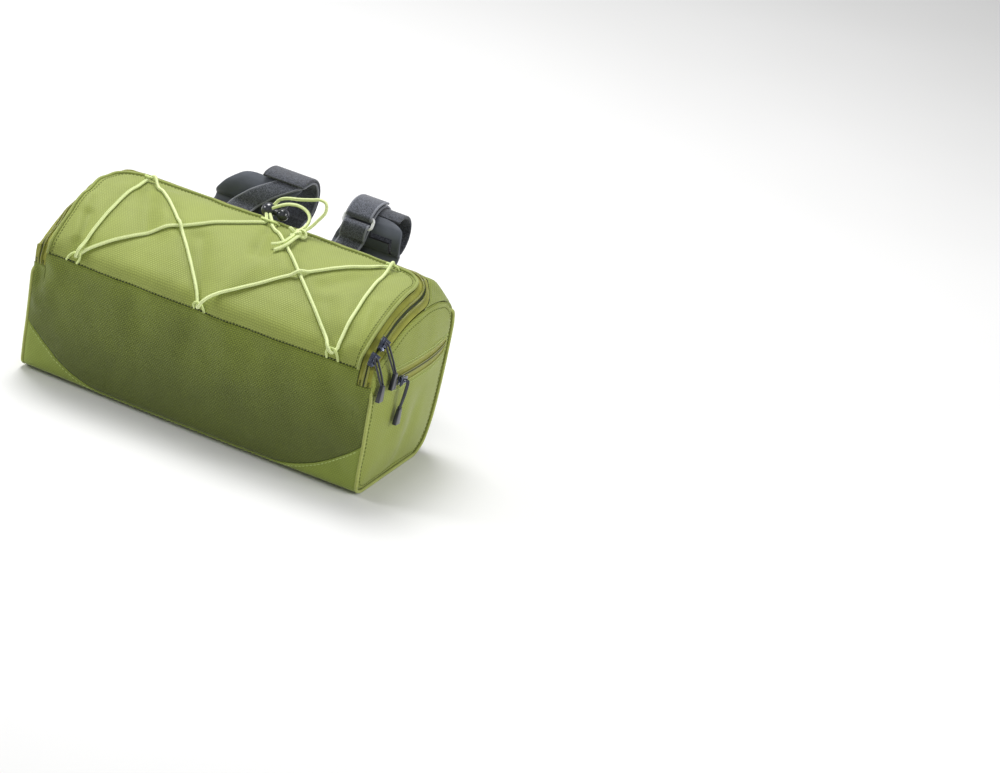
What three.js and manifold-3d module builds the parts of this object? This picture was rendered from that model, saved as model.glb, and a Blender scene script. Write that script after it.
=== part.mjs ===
// A handlebar bag: a stuffed cloth barrel with a U-shaped zipped lid, an elastic lace on top
// and two bar straps behind. Millimetres, +Z up, the front faces -Y, the origin is on the floor
// under the middle of the flat base.
import * as THREE from 'three';
import { mergeVertices } from 'three/addons/utils/BufferGeometryUtils.js';
import Module from 'manifold-3d';

const wasm = await Module();
wasm.setup();

// Driving dimensions of the bag
const BAG = {
  width: 311,          // end to end, over the sleeve of cloth
  depth: 143,          // front seam to back
  height: 158,         // floor to the top of the lid
  front: -81,          // where the front seam lies ahead of the origin
  wall: 2,             // padded cloth
  fullness: 5,         // how far the stuffed middle stands out
  endBulge: 8,         // how far the ends stand out
  shoulderRun: 18,     // width of the rounded top edge at each end
  shoulderDrop: 11,    // how far the top falls at each end
};
const GAP = 0.3;       // between pieces that touch

const LID = { cornerRadius: 28, binding: 1.3, bindingLift: 0.7 };
const ZIP = { tape: 11.5, tapeWall: 1.2, coil: 3.2, coilHeight: 1.4, footDrop: 12 };
const CORNER_SEAM = { inner: 70, rise: 41 };   // the base comes up at the lower front corners
const PIPING = { radius: 1.7 };
const POCKET = { level: 97, height: 13, front: -52, back: 54, sink: 0.6, coil: 3, coilHeight: 1.2 };
const SLIDER = { length: 11, width: 8, height: 4 };
const PULL = { cord: 1, tabLength: 13, tabWide: 8.5, tabNarrow: 5.5, tabDepth: 3.6 };
const LACE = { radius: 1.5, lift: 0.6, crossing: 3.5 };
const LOOP = { radius: 1, halfWidth: 5, reach: 8 };
const LOCK = { ball: 5.6, plunger: 4.9, stem: 2.8 };
const KNOT = { length: 15, width: 10, height: 7.6 };
const BAR = { radius: 15.9, y: 114.6, z: 145 };
const PAD = { wall: 3, clear: 0.4, low: 94, slotWidth: 21, slotHeight: 2.6, slotX: 64.5 };
const CUFF = { wall: 2.4, rightStart: 59, rightEnd: 296, leftStart: 50, leftEnd: 246 };
const STRAP = { width: 22.5, wall: 2, low: 80 };
const RING = { wire: 2.6, inside: 24, opening: 6.8, angle: 27, x: 43 };

const COLOUR = {
  lid: 0x94b04e, front: 0x6f9130, base: 0x5f8020, back: 0x6f9130, end: 0x86a83c,
  tape: 0xb4bd3a, coil: 0x8d9a2c, piping: 0xc6d679, lace: 0xdbe8a0, loop: 0xcfe08a,
  metal: 0x2b2e38, tab: 0x22252d, lock: 0x34373f, pad: 0x3f434c, wrap: 0x2e3036,
  strap: 0x4b4e56, ring: 0xe8eaee,
};

const part = new THREE.Group();

function finish(colour, roughness = 0.8, metalness = 0) {
  return new THREE.MeshStandardMaterial({ color: colour, roughness, metalness });
}

function add(name, geometry, material) {
  const mesh = new THREE.Mesh(geometry, material);
  mesh.name = name;
  part.add(mesh);
  return mesh;
}

// The sleeve's side outline, seen from its right end and going round from the front seam over
// the lid to the back, the base and the front. Columns: name, share of the depth, share of the
// height, share of the fullness.
const OUTLINE = [
  ['front_seam', 0.000, 0.695, 0.9],
  ['lid_low', 0.010, 0.752, 0.8],
  ['lid_front', 0.075, 0.815, 0.6],
  ['lid_rise', 0.205, 0.895, 0.4],
  ['lid_upper', 0.350, 0.958, 0.2],
  ['lid_crown', 0.490, 0.990, 0.1],
  ['lid_top', 0.630, 1.000, 0.1],
  ['lid_back', 0.735, 0.991, 0.1],
  ['shoulder_top', 0.850, 0.950, 0.1],
  ['shoulder', 0.940, 0.865, 0.2],
  ['back_high', 0.990, 0.745, 0.4],
  ['back_middle', 1.000, 0.580, 0.6],
  ['back_low', 0.993, 0.360, 0.5],
  ['back_foot', 0.965, 0.170, 0.2],
  ['back_corner', 0.905, 0.050, 0.0],
  ['base_back', 0.800, 0.000, 0.0],
  ['base_back_flat', 0.680, 0.000, 0.0],
  ['base_middle', 0.480, 0.000, 0.0],
  ['base_front_flat', 0.300, 0.000, 0.0],
  ['base_front', 0.150, 0.000, 0.0],
  ['front_corner', 0.062, 0.030, 0.2],
  ['front_foot', 0.045, 0.110, 0.5],
  ['front_low', 0.034, 0.300, 0.9],
  ['front_high', 0.014, 0.520, 1.0],
];
const outline = new THREE.CatmullRomCurve3(
  OUTLINE.map(([, y, z]) => new THREE.Vector3(0, BAG.front + y * BAG.depth, z * BAG.height)),
  true,
  'centripetal',
);
const FINE = 24;
outline.arcLengthDivisions = OUTLINE.length * FINE;
const outlineLengths = outline.getLengths();
const GIRTH = outlineLengths[outlineLengths.length - 1];

// Distance along the outline from the front seam to a named point, negative on the front panel.
function reach(name) {
  const row = OUTLINE.findIndex(([label]) => label === name);
  const distance = outlineLengths[row * FINE];
  return name.startsWith('front_') && row > 0 ? distance - GIRTH : distance;
}

function fullnessAt(share) {
  const place = share * OUTLINE.length;
  const row = Math.floor(place) % OUTLINE.length;
  const next = (row + 1) % OUTLINE.length;
  return THREE.MathUtils.lerp(OUTLINE[row][3], OUTLINE[next][3], place - Math.floor(place));
}

const halfWidth = BAG.width / 2;

// A point of the sleeve's outer face: x across the bag, s along the outline from the front seam.
function facePoint(x, s) {
  const u = THREE.MathUtils.euclideanModulo(s / GIRTH, 1);
  const point = outline.getPointAt(u);
  const tangent = outline.getTangentAt(u);
  const out = new THREE.Vector3(0, -tangent.z, tangent.y);
  const share = Math.min(Math.abs(x) / halfWidth, 1);
  const bulge = BAG.fullness * fullnessAt(outline.getUtoTmapping(u)) * (1 - share ** 3);
  const edge = THREE.MathUtils.smootherstep(Math.abs(x), halfWidth - BAG.shoulderRun, halfWidth + 4);
  const drop = BAG.shoulderDrop * 1.35 * edge * Math.max(out.z, 0) ** 1.2;
  const z = Math.max(point.z + out.z * bulge - drop, 0);
  return new THREE.Vector3(x, point.y + out.y * bulge, z);
}

// The same face with its outward normal, and a point raised above it or sunk below it.
function faceNormal(x, s) {
  const step = 0.5;
  const inner = Math.abs(x) > halfWidth - step ? Math.sign(x) * (halfWidth - step) : x;
  const across = facePoint(inner + step, s).sub(facePoint(inner - step, s));
  const along = facePoint(inner, s + step).sub(facePoint(inner, s - step));
  return across.cross(along).normalize();
}

function onFace(x, s, height = 0) {
  return facePoint(x, s).addScaledVector(faceNormal(x, s), height);
}

// A closed solid from a grid of section points: rows of equal length joined side by side. Each
// row is a closed ring, and the two end rings are capped.
function skinRings(rings, closed = false) {
  const sides = rings[0].length;
  const position = rings.flat().flatMap((p) => [p.x, p.y, p.z]);
  const index = [];
  const count = closed ? rings.length : rings.length - 1;
  for (let r = 0; r < count; r += 1) {
    const here = r * sides;
    const next = ((r + 1) % rings.length) * sides;
    for (let k = 0; k < sides; k += 1) {
      const j = (k + 1) % sides;
      index.push(here + k, here + j, next + j, here + k, next + j, next + k);
    }
  }
  if (!closed) {
    const last = (rings.length - 1) * sides;
    for (let k = 1; k < sides - 1; k += 1) {
      index.push(0, k + 1, k, last, last + k, last + k + 1);
    }
  }
  const geometry = new THREE.BufferGeometry();
  geometry.setAttribute('position', new THREE.Float32BufferAttribute(position, 3));
  geometry.setIndex(index);
  return outwards(geometry);
}

// Turns a closed mesh's faces outwards, told by the sign of its volume.
function outwards(geometry) {
  const p = geometry.attributes.position;
  const index = geometry.index.array;
  const [a, b, c] = [new THREE.Vector3(), new THREE.Vector3(), new THREE.Vector3()];
  let volume = 0;
  for (let i = 0; i < index.length; i += 3) {
    a.fromBufferAttribute(p, index[i]);
    b.fromBufferAttribute(p, index[i + 1]);
    c.fromBufferAttribute(p, index[i + 2]);
    volume += a.dot(b.cross(c));
  }
  if (volume < 0) {
    for (let i = 0; i < index.length; i += 3) {
      [index[i + 1], index[i + 2]] = [index[i + 2], index[i + 1]];
    }
  }
  geometry.computeVertexNormals();
  return geometry;
}

// A cloth panel on the sleeve: place(u, v) gives [x, s] for u and v from 0 to 1.
function clothPanel(place, uSteps, vSteps, top = 0, wall = BAG.wall) {
  const grid = (height) => {
    const rows = [];
    for (const v of vSteps) {
      rows.push(uSteps.map((u) => onFace(...place(u, v), height)));
    }
    return rows;
  };
  return slab(grid(top), grid(top - wall));
}

// A closed slab between two grids of points.
function slab(outer, inner) {
  const rows = outer.length;
  const cols = outer[0].length;
  const position = [...outer.flat(), ...inner.flat()].flatMap((p) => [p.x, p.y, p.z]);
  const index = [];
  const low = rows * cols;
  const quad = (a, b, c, d) => index.push(a, b, c, a, c, d);
  for (let r = 0; r < rows - 1; r += 1) {
    for (let k = 0; k < cols - 1; k += 1) {
      const a = r * cols + k;
      quad(a, a + 1, a + cols + 1, a + cols);
      quad(low + a, low + a + cols, low + a + cols + 1, low + a + 1);
    }
  }
  for (let r = 0; r < rows - 1; r += 1) {
    const a = r * cols;
    const b = a + cols - 1;
    quad(a, a + cols, low + a + cols, low + a);
    quad(b + cols, b, low + b, low + b + cols);
  }
  for (let k = 0; k < cols - 1; k += 1) {
    const b = (rows - 1) * cols + k;
    quad(k + 1, k, low + k, low + k + 1);
    quad(b, b + 1, low + b + 1, low + b);
  }
  const geometry = new THREE.BufferGeometry();
  geometry.setAttribute('position', new THREE.Float32BufferAttribute(position, 3));
  geometry.setIndex(index);
  return outwards(geometry);
}

const even = (count) => Array.from({ length: count + 1 }, (_, i) => i / count);

// A curve whose steps follow its own points, so that bends keep their points.
class Route extends THREE.CatmullRomCurve3 {
  constructor(points) {
    super(points, false, 'centripetal');
  }

  getPointAt(u, target) {
    return this.getPoint(u, target);
  }

  getTangentAt(u, target) {
    return this.getTangent(u, target);
  }
}

// A round cord along a route of points.
function cordAlong(points, radius, steps = points.length - 1, sides = 8) {
  const section = new THREE.Shape();
  section.absarc(0, 0, radius, 0, Math.PI * 2);
  const geometry = new THREE.ExtrudeGeometry(section, {
    steps, curveSegments: sides / 2, extrudePath: new Route(points),
  });
  return welded(geometry);
}

function welded(geometry) {
  geometry.deleteAttribute('normal');
  geometry.deleteAttribute('uv');
  return outwards(mergeVertices(geometry, 1e-3));
}

// A flat strap along a route: [centre, direction across, width] rows.
function ribbon(rows, wall) {
  const rings = rows.map(([centre, across, width], i) => {
    const before = rows[Math.max(i - 1, 0)][0];
    const after = rows[Math.min(i + 1, rows.length - 1)][0];
    const along = after.clone().sub(before).normalize();
    const out = along.cross(across).normalize();
    const corner = (a, b) => centre.clone()
      .addScaledVector(across, a * width / 2).addScaledVector(out, b * wall / 2);
    return [corner(-1, -1), corner(1, -1), corner(1, 1), corner(-1, 1)];
  });
  return skinRings(rings);
}

function toManifold(geometry) {
  const merged = mergeVertices(geometry.clone(), 1e-4);
  return new wasm.Manifold(new wasm.Mesh({
    numProp: 3,
    vertProperties: new Float32Array(merged.attributes.position.array),
    triVerts: new Uint32Array(merged.index.array),
  }));
}

function toGeometry(solid) {
  const mesh = solid.getMesh();
  const geometry = new THREE.BufferGeometry();
  geometry.setAttribute('position', new THREE.Float32BufferAttribute(mesh.vertProperties, 3));
  geometry.setIndex(new THREE.Uint32BufferAttribute(mesh.triVerts, 1));
  return outwards(geometry);
}

function bare(geometry) {
  geometry.deleteAttribute('normal');
  geometry.deleteAttribute('uv');
  return mergeVertices(geometry, 1e-4);
}

// The lid and the band of zip tape round it
const lidHalf = halfWidth - ZIP.tape - GAP;
const lidEnd = reach('lid_back');
const bandOuter = lidEnd + ZIP.tape;
const outerRadius = LID.cornerRadius + ZIP.tape;

function lidHalfAt(s) {
  const past = Math.max(s - (lidEnd - LID.cornerRadius), 0);
  return lidHalf - LID.cornerRadius
    + Math.sqrt(Math.max(LID.cornerRadius ** 2 - past ** 2, 0));
}

function buildLid() {
  const straight = even(8).map((v) => v * 0.78);
  const round = [0.84, 0.9, 0.95, 0.985, 1];
  const place = (u, v) => {
    const s = THREE.MathUtils.lerp(GAP / 2, lidEnd - GAP, v);
    return [(2 * u - 1) * (lidHalfAt(s) - GAP), s];
  };
  const across = [0, 0.03, 0.08, 0.16, 0.26, 0.38, 0.5, 0.62, 0.74, 0.84, 0.92, 0.97, 1];
  add('lid_panel', clothPanel(place, across, [...straight, ...round]), finish(COLOUR.lid));
}

// The path round the lid at a distance outside its edge: points [x, s] from left to right.
function roundLid(offset, low, straightSteps = 7, arcSteps = 5) {
  const radius = LID.cornerRadius + offset;
  const cornerS = lidEnd - LID.cornerRadius;
  const cornerX = lidHalf - LID.cornerRadius;
  const half = [];
  for (let i = 0; i < straightSteps; i += 1) {
    half.push([lidHalf + offset, THREE.MathUtils.lerp(low, cornerS, i / straightSteps)]);
  }
  for (let i = 0; i <= arcSteps; i += 1) {
    const angle = (i / arcSteps) * Math.PI / 2;
    half.push([cornerX + radius * Math.cos(angle), cornerS + radius * Math.sin(angle)]);
  }
  const back = [cornerX * 0.6, cornerX * 0.2].map((x) => [x, lidEnd + offset]);
  const right = [...half, ...back];
  const left = right.map(([x, s]) => [-x, s]);
  return [...left, ...right.reverse()];
}

function buildZipBand() {
  const low = -ZIP.footDrop + GAP / 2;
  const strip = (inner, outer, top, wall) => {
    const lines = [inner, (inner + outer) / 2, outer].map((offset) => roundLid(offset, low));
    const rows = (height) => lines.map((line) => line.map(([x, s]) => onFace(x, s, height)));
    return slab(rows(top), rows(top - wall));
  };
  const sink = 0.6;
  const half = ZIP.coil / 2;
  const middle = ZIP.tape / 2;
  add('main_zip_tape', strip(GAP, ZIP.tape - GAP, -sink, ZIP.tapeWall), finish(COLOUR.tape));
  add('main_zip_coil',
    strip(middle - half, middle + half, -sink + 3 * GAP + ZIP.coilHeight, ZIP.coilHeight),
    finish(COLOUR.coil));
  const edge = roundLid(-LID.binding, GAP).map(([x, s]) => onFace(x, s, LID.binding + LID.bindingLift));
  add('lid_binding', cordAlong(edge, LID.binding, edge.length - 1, 6), finish(COLOUR.piping));
}

// Where the base meets the front panel at x: the corner seam climbs towards each end.
const frontFoot = reach('front_corner');
function frontLow(x) {
  const share = Math.max(Math.abs(x) - CORNER_SEAM.inner, 0) / (halfWidth - CORNER_SEAM.inner);
  return frontFoot + CORNER_SEAM.rise * share ** 2;
}

const COLUMNS = [0, 22, 46, 70, 88, 104, 118, 130, 138];
function columnsTo(...more) {
  const right = [...COLUMNS, ...more];
  return [...right.slice(1).reverse().map((x) => -x), ...right];
}

function buildSleeve() {
  const notch = lidHalf - GAP;
  const frontX = columnsTo(notch, notch + GAP * 2, 149, halfWidth);
  const frontTop = (x) => (Math.abs(x) > notch + GAP ? -ZIP.footDrop - GAP / 2 : -GAP / 2);
  const share = (list) => (u) => list[Math.round(u * (list.length - 1))];
  const frontPlace = (u, v) => {
    const x = share(frontX)(u);
    return [x, THREE.MathUtils.lerp(frontLow(x) + GAP / 2, frontTop(x), v)];
  };
  add('front_panel', clothPanel(frontPlace, even(frontX.length - 1), even(7)), finish(COLOUR.front));

  // The base's rows lie straight across the bag as far as its front edge, then fan out to the seam.
  const baseX = columnsTo(149, halfWidth);
  const baseEnd = reach('back_corner') - GIRTH;
  const baseTurn = frontFoot - 3;
  const flatShare = 0.6;
  const basePlace = (u, v) => {
    const x = share(baseX)(u);
    const s = v < flatShare
      ? THREE.MathUtils.lerp(baseEnd + GAP / 2, baseTurn, v / flatShare)
      : THREE.MathUtils.lerp(baseTurn, frontLow(x) - GAP, (v - flatShare) / (1 - flatShare));
    return [x, s];
  };
  const baseRows = [0, 0.05, 0.1, 0.17, 0.3, 0.42, 0.5, 0.54, 0.57, flatShare, 0.7, 0.8, 0.9, 1];
  add('bottom_panel', clothPanel(basePlace, even(baseX.length - 1), baseRows), finish(COLOUR.base));

  const cornerX = lidHalf - LID.cornerRadius;
  const backTop = (x) => {
    const past = Math.max(Math.abs(x) - cornerX, 0);
    return lidEnd - LID.cornerRadius
      + Math.sqrt(Math.max(outerRadius ** 2 - past ** 2, 0)) + GAP * 4;
  };
  const backX = [0, 22, 46, 70, 92, cornerX, 124, 132, 140, 147, 152, halfWidth];
  const allBackX = [...backX.slice(1).reverse().map((x) => -x), ...backX];
  const backPlace = (u, v) => {
    const x = share(allBackX)(u);
    return [x, THREE.MathUtils.lerp(backTop(x), reach('back_corner') - GAP / 2, v)];
  };
  const backRows = [0, 0.07, 0.14, 0.22, 0.3, 0.4, 0.54, 0.7, 0.82, 0.91, 1];
  add('back_panel', clothPanel(backPlace, even(allBackX.length - 1), backRows), finish(COLOUR.back));
}

// The closed outline of an end panel, inside the sleeve's wall.
const END_STEPS = 36;
const END_CLEAR = 1.5;
function endOutline(side, inset) {
  return Array.from({ length: END_STEPS }, (_, i) => {
    const s = (i / END_STEPS) * GIRTH;
    const point = onFace(side * halfWidth, s, -inset);
    return new THREE.Vector2(point.y, point.z);
  });
}

function centreOf(rim) {
  return rim.reduce((sum, p) => sum.add(p), new THREE.Vector2()).divideScalar(rim.length);
}

function endDisc(side) {
  const rim = endOutline(side, BAG.wall + END_CLEAR);
  const middle = centreOf(rim);
  const rings = [];
  const inner = [0.25, 0.55, 0.8, 0.93, 1];
  const ringAt = (share, shift) => rim.map((p) => {
    const q = middle.clone().lerp(p, share);
    const x = halfWidth + BAG.endBulge * (1 - share ** 2) - shift;
    return new THREE.Vector3(side * x, q.x, q.y);
  });
  inner.forEach((share) => rings.push(ringAt(share, BAG.wall)));
  [...inner].reverse().forEach((share) => rings.push(ringAt(share, 0)));
  return skinRings(rings);
}

// The point of an end panel's outer face at y, z, found on the rays from its middle to its rim.
function endPoint(side, y, z, height = 0) {
  const rim = endOutline(side, BAG.wall + END_CLEAR);
  const middle = centreOf(rim);
  const arm = new THREE.Vector2(y, z).sub(middle);
  let share = 0;
  rim.forEach((p, i) => {
    const a = p.clone().sub(middle);
    const b = rim[(i + 1) % rim.length].clone().sub(middle);
    const twice = a.cross(b);
    const u = arm.cross(b) / twice;
    const v = a.cross(arm) / twice;
    if (u >= 0 && v >= 0) {
      share = u + v;
    }
  });
  const x = halfWidth + BAG.endBulge * (1 - share ** 2) + height;
  return new THREE.Vector3(side * x, y, z);
}

// A shape drawn as seen from the right end, made a prism from x to x + depth.
function endPrism(shape, x, depth) {
  const geometry = bare(new THREE.ExtrudeGeometry(shape, {
    depth, bevelEnabled: false, curveSegments: 6,
  }));
  const [toY, toZ, toX] = [[0, 1, 0], [0, 0, 1], [1, 0, 0]].map((v) => new THREE.Vector3(...v));
  geometry.applyMatrix4(new THREE.Matrix4().makeBasis(toY, toZ, toX));
  return geometry.translate(x, 0, 0);
}

function pocketSlot(grow) {
  const half = POCKET.height / 2 + grow;
  const front = POCKET.front + POCKET.height / 2;
  const back = POCKET.back - POCKET.height / 2;
  const shape = new THREE.Shape();
  shape.absarc(front, POCKET.level, half, Math.PI / 2, Math.PI * 1.5);
  shape.absarc(back, POCKET.level, half, -Math.PI / 2, Math.PI / 2);
  return toManifold(endPrism(shape, halfWidth / 2, halfWidth));
}

function buildEnds() {
  const right = toManifold(endDisc(1));
  add('end_panel_left', endDisc(-1), finish(COLOUR.end));
  add('end_panel_right', toGeometry(right.subtract(pocketSlot(0))), finish(COLOUR.end));
  const tape = toGeometry(right.intersect(pocketSlot(-GAP)));
  tape.translate(-POCKET.sink, 0, 0);
  add('pocket_zip_tape', tape, finish(COLOUR.tape));

  const half = POCKET.height / 2;
  const coil = even(10).map((v) => {
    const y = THREE.MathUtils.lerp(POCKET.front + half, POCKET.back - 2, v);
    const lift = POCKET.coilHeight / 2 + GAP - POCKET.sink + 0.35;
    return [endPoint(1, y, POCKET.level, lift), new THREE.Vector3(0, 0, 1), POCKET.coil];
  });
  add('pocket_zip_coil', ribbon(coil, POCKET.coilHeight), finish(COLOUR.coil));

  for (const [name, side] of [['end_piping_left', -1], ['end_piping_right', 1]]) {
    const start = reach('shoulder');
    const finishAt = GIRTH - ZIP.footDrop;
    const route = even(34).map((v) => {
      const s = THREE.MathUtils.lerp(start, finishAt, v);
      const low = onFace(side * halfWidth, s, -BAG.wall / 2);
      return low.setX(side * (halfWidth + PIPING.radius + GAP)).setZ(Math.max(low.z, PIPING.radius));
    });
    add(name, cordAlong(route, PIPING.radius, route.length - 1, 6), finish(COLOUR.piping));
  }
}

// Sliders and pulls. Columns: name, slider centre, direction along the zip, outward direction,
// top of the tab, foot of the tab.
function zipPlace(s) {
  const x = lidHalf + ZIP.tape / 2;
  const centre = onFace(x, s, ZIP.coilHeight + 3 * GAP + SLIDER.height / 2);
  const along = onFace(x, s + 1).sub(onFace(x, s - 1)).normalize();
  return { centre, along, out: faceNormal(x, s), stand: 6 * GAP };
}

function buildSlider(name, { centre, along, out, stand }, tabTop, tabFoot) {
  const side = along.clone().cross(out).normalize();
  const [l, w, h] = [SLIDER.length / 2, SLIDER.width / 2, SLIDER.height / 2];
  const plan = new THREE.Shape([
    [-l, -w * 0.6], [l * 0.4, -w], [l, -w * 0.55], [l, w * 0.55], [l * 0.4, w], [-l, w * 0.6],
  ].map(([a, b]) => new THREE.Vector2(a, b)));
  const body = bare(new THREE.ExtrudeGeometry(plan, {
    depth: h, bevelEnabled: true, bevelThickness: h / 2, bevelSize: 0.7, bevelOffset: -0.7, bevelSegments: 1,
  }));
  body.translate(0, 0, -h / 2);
  body.applyMatrix4(new THREE.Matrix4().makeBasis(along, side.clone().negate(), out));
  add(name, outwards(body.translate(...centre)), finish(COLOUR.metal, 0.4, 0.8));

  const start = centre.clone().addScaledVector(out, h + PULL.cord + stand);
  const hang = new THREE.Vector3().lerpVectors(start, tabTop, 0.45);
  hang.addScaledVector(out, 2);
  const down = tabFoot.clone().sub(tabTop).normalize();
  const end = tabTop.clone().addScaledVector(down, -1);
  add(`${name}_cord`, cordAlong([start, hang, end], PULL.cord, 6, 6), finish(COLOUR.metal));

  const across = new THREE.Vector3(0, 1, 0).addScaledVector(down, -down.y).normalize();
  const length = tabFoot.distanceTo(tabTop);
  const rows = [[0, 0.8], [0.15, 1], [0.75, 1.25], [1, 1.15]].map(([share, wide]) => {
    const width = THREE.MathUtils.lerp(PULL.tabNarrow, PULL.tabWide, share) * wide / 1.25;
    return [tabTop.clone().addScaledVector(down, share * length), across, width];
  });
  add(`${name}_tab`, ribbon(rows, PULL.tabDepth), finish(COLOUR.tab, 0.5));
}

function buildPulls() {
  const clear = PULL.tabDepth / 2 + 2.5;
  const hangAt = (y, z) => endPoint(1, y, z, clear);
  const tab = (y, z) => [hangAt(y, z), hangAt(y - 1, z - PULL.tabLength)];
  buildSlider('main_slider_upper', zipPlace(31), ...tab(-56, 106));
  buildSlider('main_slider_lower', zipPlace(14), ...tab(-71, 99));
  const y = POCKET.front + POCKET.height / 2 + 3;
  const lift = POCKET.coilHeight + GAP * 2 + SLIDER.height / 2;
  const pocket = {
    centre: endPoint(1, y, POCKET.level, lift),
    along: new THREE.Vector3(0, -1, 0),
    out: new THREE.Vector3(1, 0, 0),
    stand: GAP,
  };
  buildSlider('pocket_slider', pocket, ...tab(y + 3, 71));
}

// The six cord loops. Columns: name, x, s of the legs' feet, direction of the eye along s.
const seamFoot = 1.5;
const topFoot = lidEnd - LID.binding * 2 - LOOP.radius - 2.5;
const LOOPS = [
  ['seam_loop_left', -119.5, seamFoot, 1],
  ['seam_loop_middle', 0, seamFoot, 1],
  ['seam_loop_right', 119.5, seamFoot, 1],
  ['top_loop_left', -113, topFoot, -1],
  ['top_loop_middle', 0, topFoot, -1],
  ['top_loop_right', 113, topFoot, -1],
];
const laceLow = LACE.radius + LACE.lift;
const loopHigh = laceLow + LACE.radius + GAP + LOOP.radius;
const laceHigh = loopHigh + LOOP.radius + GAP + LACE.radius;

function buildLoops() {
  for (const [name, x, foot, way] of LOOPS) {
    const half = name === 'top_loop_middle' ? LOOP.halfWidth * 1.4 : LOOP.halfWidth;
    const arm = [[1, 0, LOOP.radius + GAP], [1, 0.45, loopHigh * 0.62], [0.8, 0.85, loopHigh]];
    const left = arm.map(([w, r, h]) => onFace(x - half * w, foot + way * r * LOOP.reach, h));
    const right = arm.map(([w, r, h]) => onFace(x + half * w, foot + way * r * LOOP.reach, h));
    const apex = onFace(x, foot + way * LOOP.reach, loopHigh);
    const route = [...left, apex, ...right.reverse()];
    add(name, cordAlong(route, LOOP.radius, 8, 6), finish(COLOUR.loop));
  }
}

// The elastic lace. Its chosen points: the stops are the loops' eyes, [x, s] on the face.
const eye = (name) => {
  const [, x, foot, way] = LOOPS.find(([label]) => label === name);
  return new THREE.Vector2(x, foot + way * LOOP.reach);
};
const lockBall = onFace(-9, topFoot + 8.5, LOCK.ball + 2.6);
const lockPlunger = onFace(3.4, topFoot + 10, LOCK.plunger + 3);

function laceRoute() {
  const order = ['seam_loop_left', 'top_loop_left', 'seam_loop_middle', 'top_loop_right', 'seam_loop_right'];
  const middle = eye('top_loop_middle');
  const stops = [middle, ...order.map(eye), middle];
  const lockEnd = (dx) => {
    const toEye = onFace(middle.x, middle.y, laceLow).sub(lockBall).normalize();
    return lockBall.clone().addScaledVector(toEye, LOCK.ball + 0.9).add(new THREE.Vector3(dx, 0, 0));
  };
  const route = [lockEnd(-1.7), onFace(-1.8, middle.y + 3, laceLow + 0.6), onFace(-1.8, middle.y, laceLow)];
  for (let i = 0; i < stops.length - 1; i += 1) {
    const [from, to] = [stops[i], stops[i + 1]];
    const way = to.clone().sub(from);
    const length = way.length();
    way.divideScalar(length);
    const over = i === 2 || i === 3;
    const at = (d, h) => {
      const q = from.clone().addScaledVector(way, d);
      const shift = Math.min(d / 20, (length - d) / 20, 1);
      const side = i === 0 ? -1.8 : 0;
      const sideEnd = i === stops.length - 2 ? 1.8 : 0;
      const x = q.x + (d < length / 2 ? side : sideEnd) * (1 - shift);
      return onFace(x, q.y, h);
    };
    if (i > 0) {
      const before = stops[i - 1].clone().sub(from).normalize();
      const inward = before.clone().add(way).normalize().negate();
      const tip = (d, h) => onFace(from.x + inward.x * d, from.y + inward.y * d, h);
      route.push(tip(2.4, laceLow + 0.9), tip(3.1, loopHigh), tip(2.4, laceHigh - 0.9), at(0.9, laceHigh));
      route.push(at(5, laceHigh - 1.6), at(10, laceLow + 1.2));
    }
    const first = i > 0 ? 18 : 6;
    const spans = [first, length * 0.3, length * 0.42, length * 0.5, length * 0.58, length * 0.7, length - 18];
    spans.forEach((d, k) => {
      const hump = over ? [0, 0, 0.55, 1, 0.55, 0, 0][k] : 0;
      route.push(at(d, laceLow + LACE.crossing * hump));
    });
    if (i < stops.length - 2) {
      route.push(at(length - 5, laceLow), at(length - 0.8, laceLow));
    } else {
      route.push(at(length - 6, laceLow), at(length, laceLow));
    }
  }
  route.push(onFace(1.8, middle.y + 3, laceLow + 0.6), lockEnd(1.7));
  return route;
}

function buildLace() {
  add('elastic_lace', cordAlong(laceRoute(), LACE.radius), finish(COLOUR.lace));
  const ball = bare(new THREE.SphereGeometry(LOCK.ball, 10, 6)).translate(...lockBall);
  const plunger = bare(new THREE.SphereGeometry(LOCK.plunger, 10, 6)).translate(...lockPlunger);
  const axis = lockPlunger.clone().sub(lockBall);
  const stem = bare(new THREE.CylinderGeometry(LOCK.stem, LOCK.stem, axis.length(), 8));
  const turn = new THREE.Quaternion().setFromUnitVectors(new THREE.Vector3(0, 1, 0), axis.normalize());
  stem.applyQuaternion(turn).translate(...lockBall.clone().add(lockPlunger).multiplyScalar(0.5));
  const lock = toManifold(ball).add(toManifold(plunger)).add(toManifold(stem));
  add('cord_lock', toGeometry(lock), finish(COLOUR.lock, 0.35));
}

// The loose tails of the lace and its two ends, whose points are chosen by hand: [x, y, z].
// Each tail starts at the lock.
const TAILS = {
  lace_tail_upper: [
    [-3, 33, 174], [5, 31, 178.5], [16, 30, 181.5], [28, 29, 185.5],
    [35, 28, 188], [41, 27, 187], [43, 24.5, 181], [39.5, 20.5, 173.5], [36, 16.5, 167.4],
  ],
  lace_tail_lower: [
    [0, 24.5, 171.5], [8, 26.5, 175.5], [17.5, 27.5, 177], [26, 26, 175.5],
    [31, 22.5, 172.5], [32.6, 18, 169.5], [32.2, 15.5, 167.6],
  ],
  lace_end_upper: [
    [30, 3.6, 163], [30.3, -3, 163], [31, -10, 163.2], [30.6, -16, 162.2], [27, -21.5, 160.6],
    [23.2, -24.5, 159.8],
  ],
  lace_end_lower: [
    [33.6, 3.6, 163], [33.8, -3, 163], [34.4, -10, 163], [34.2, -17.5, 161.8],
    [31.5, -24.5, 159.4], [28.5, -29, 157.8],
  ],
};
const KNOT_AT = [32.5, 10.4, 163.2];

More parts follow.
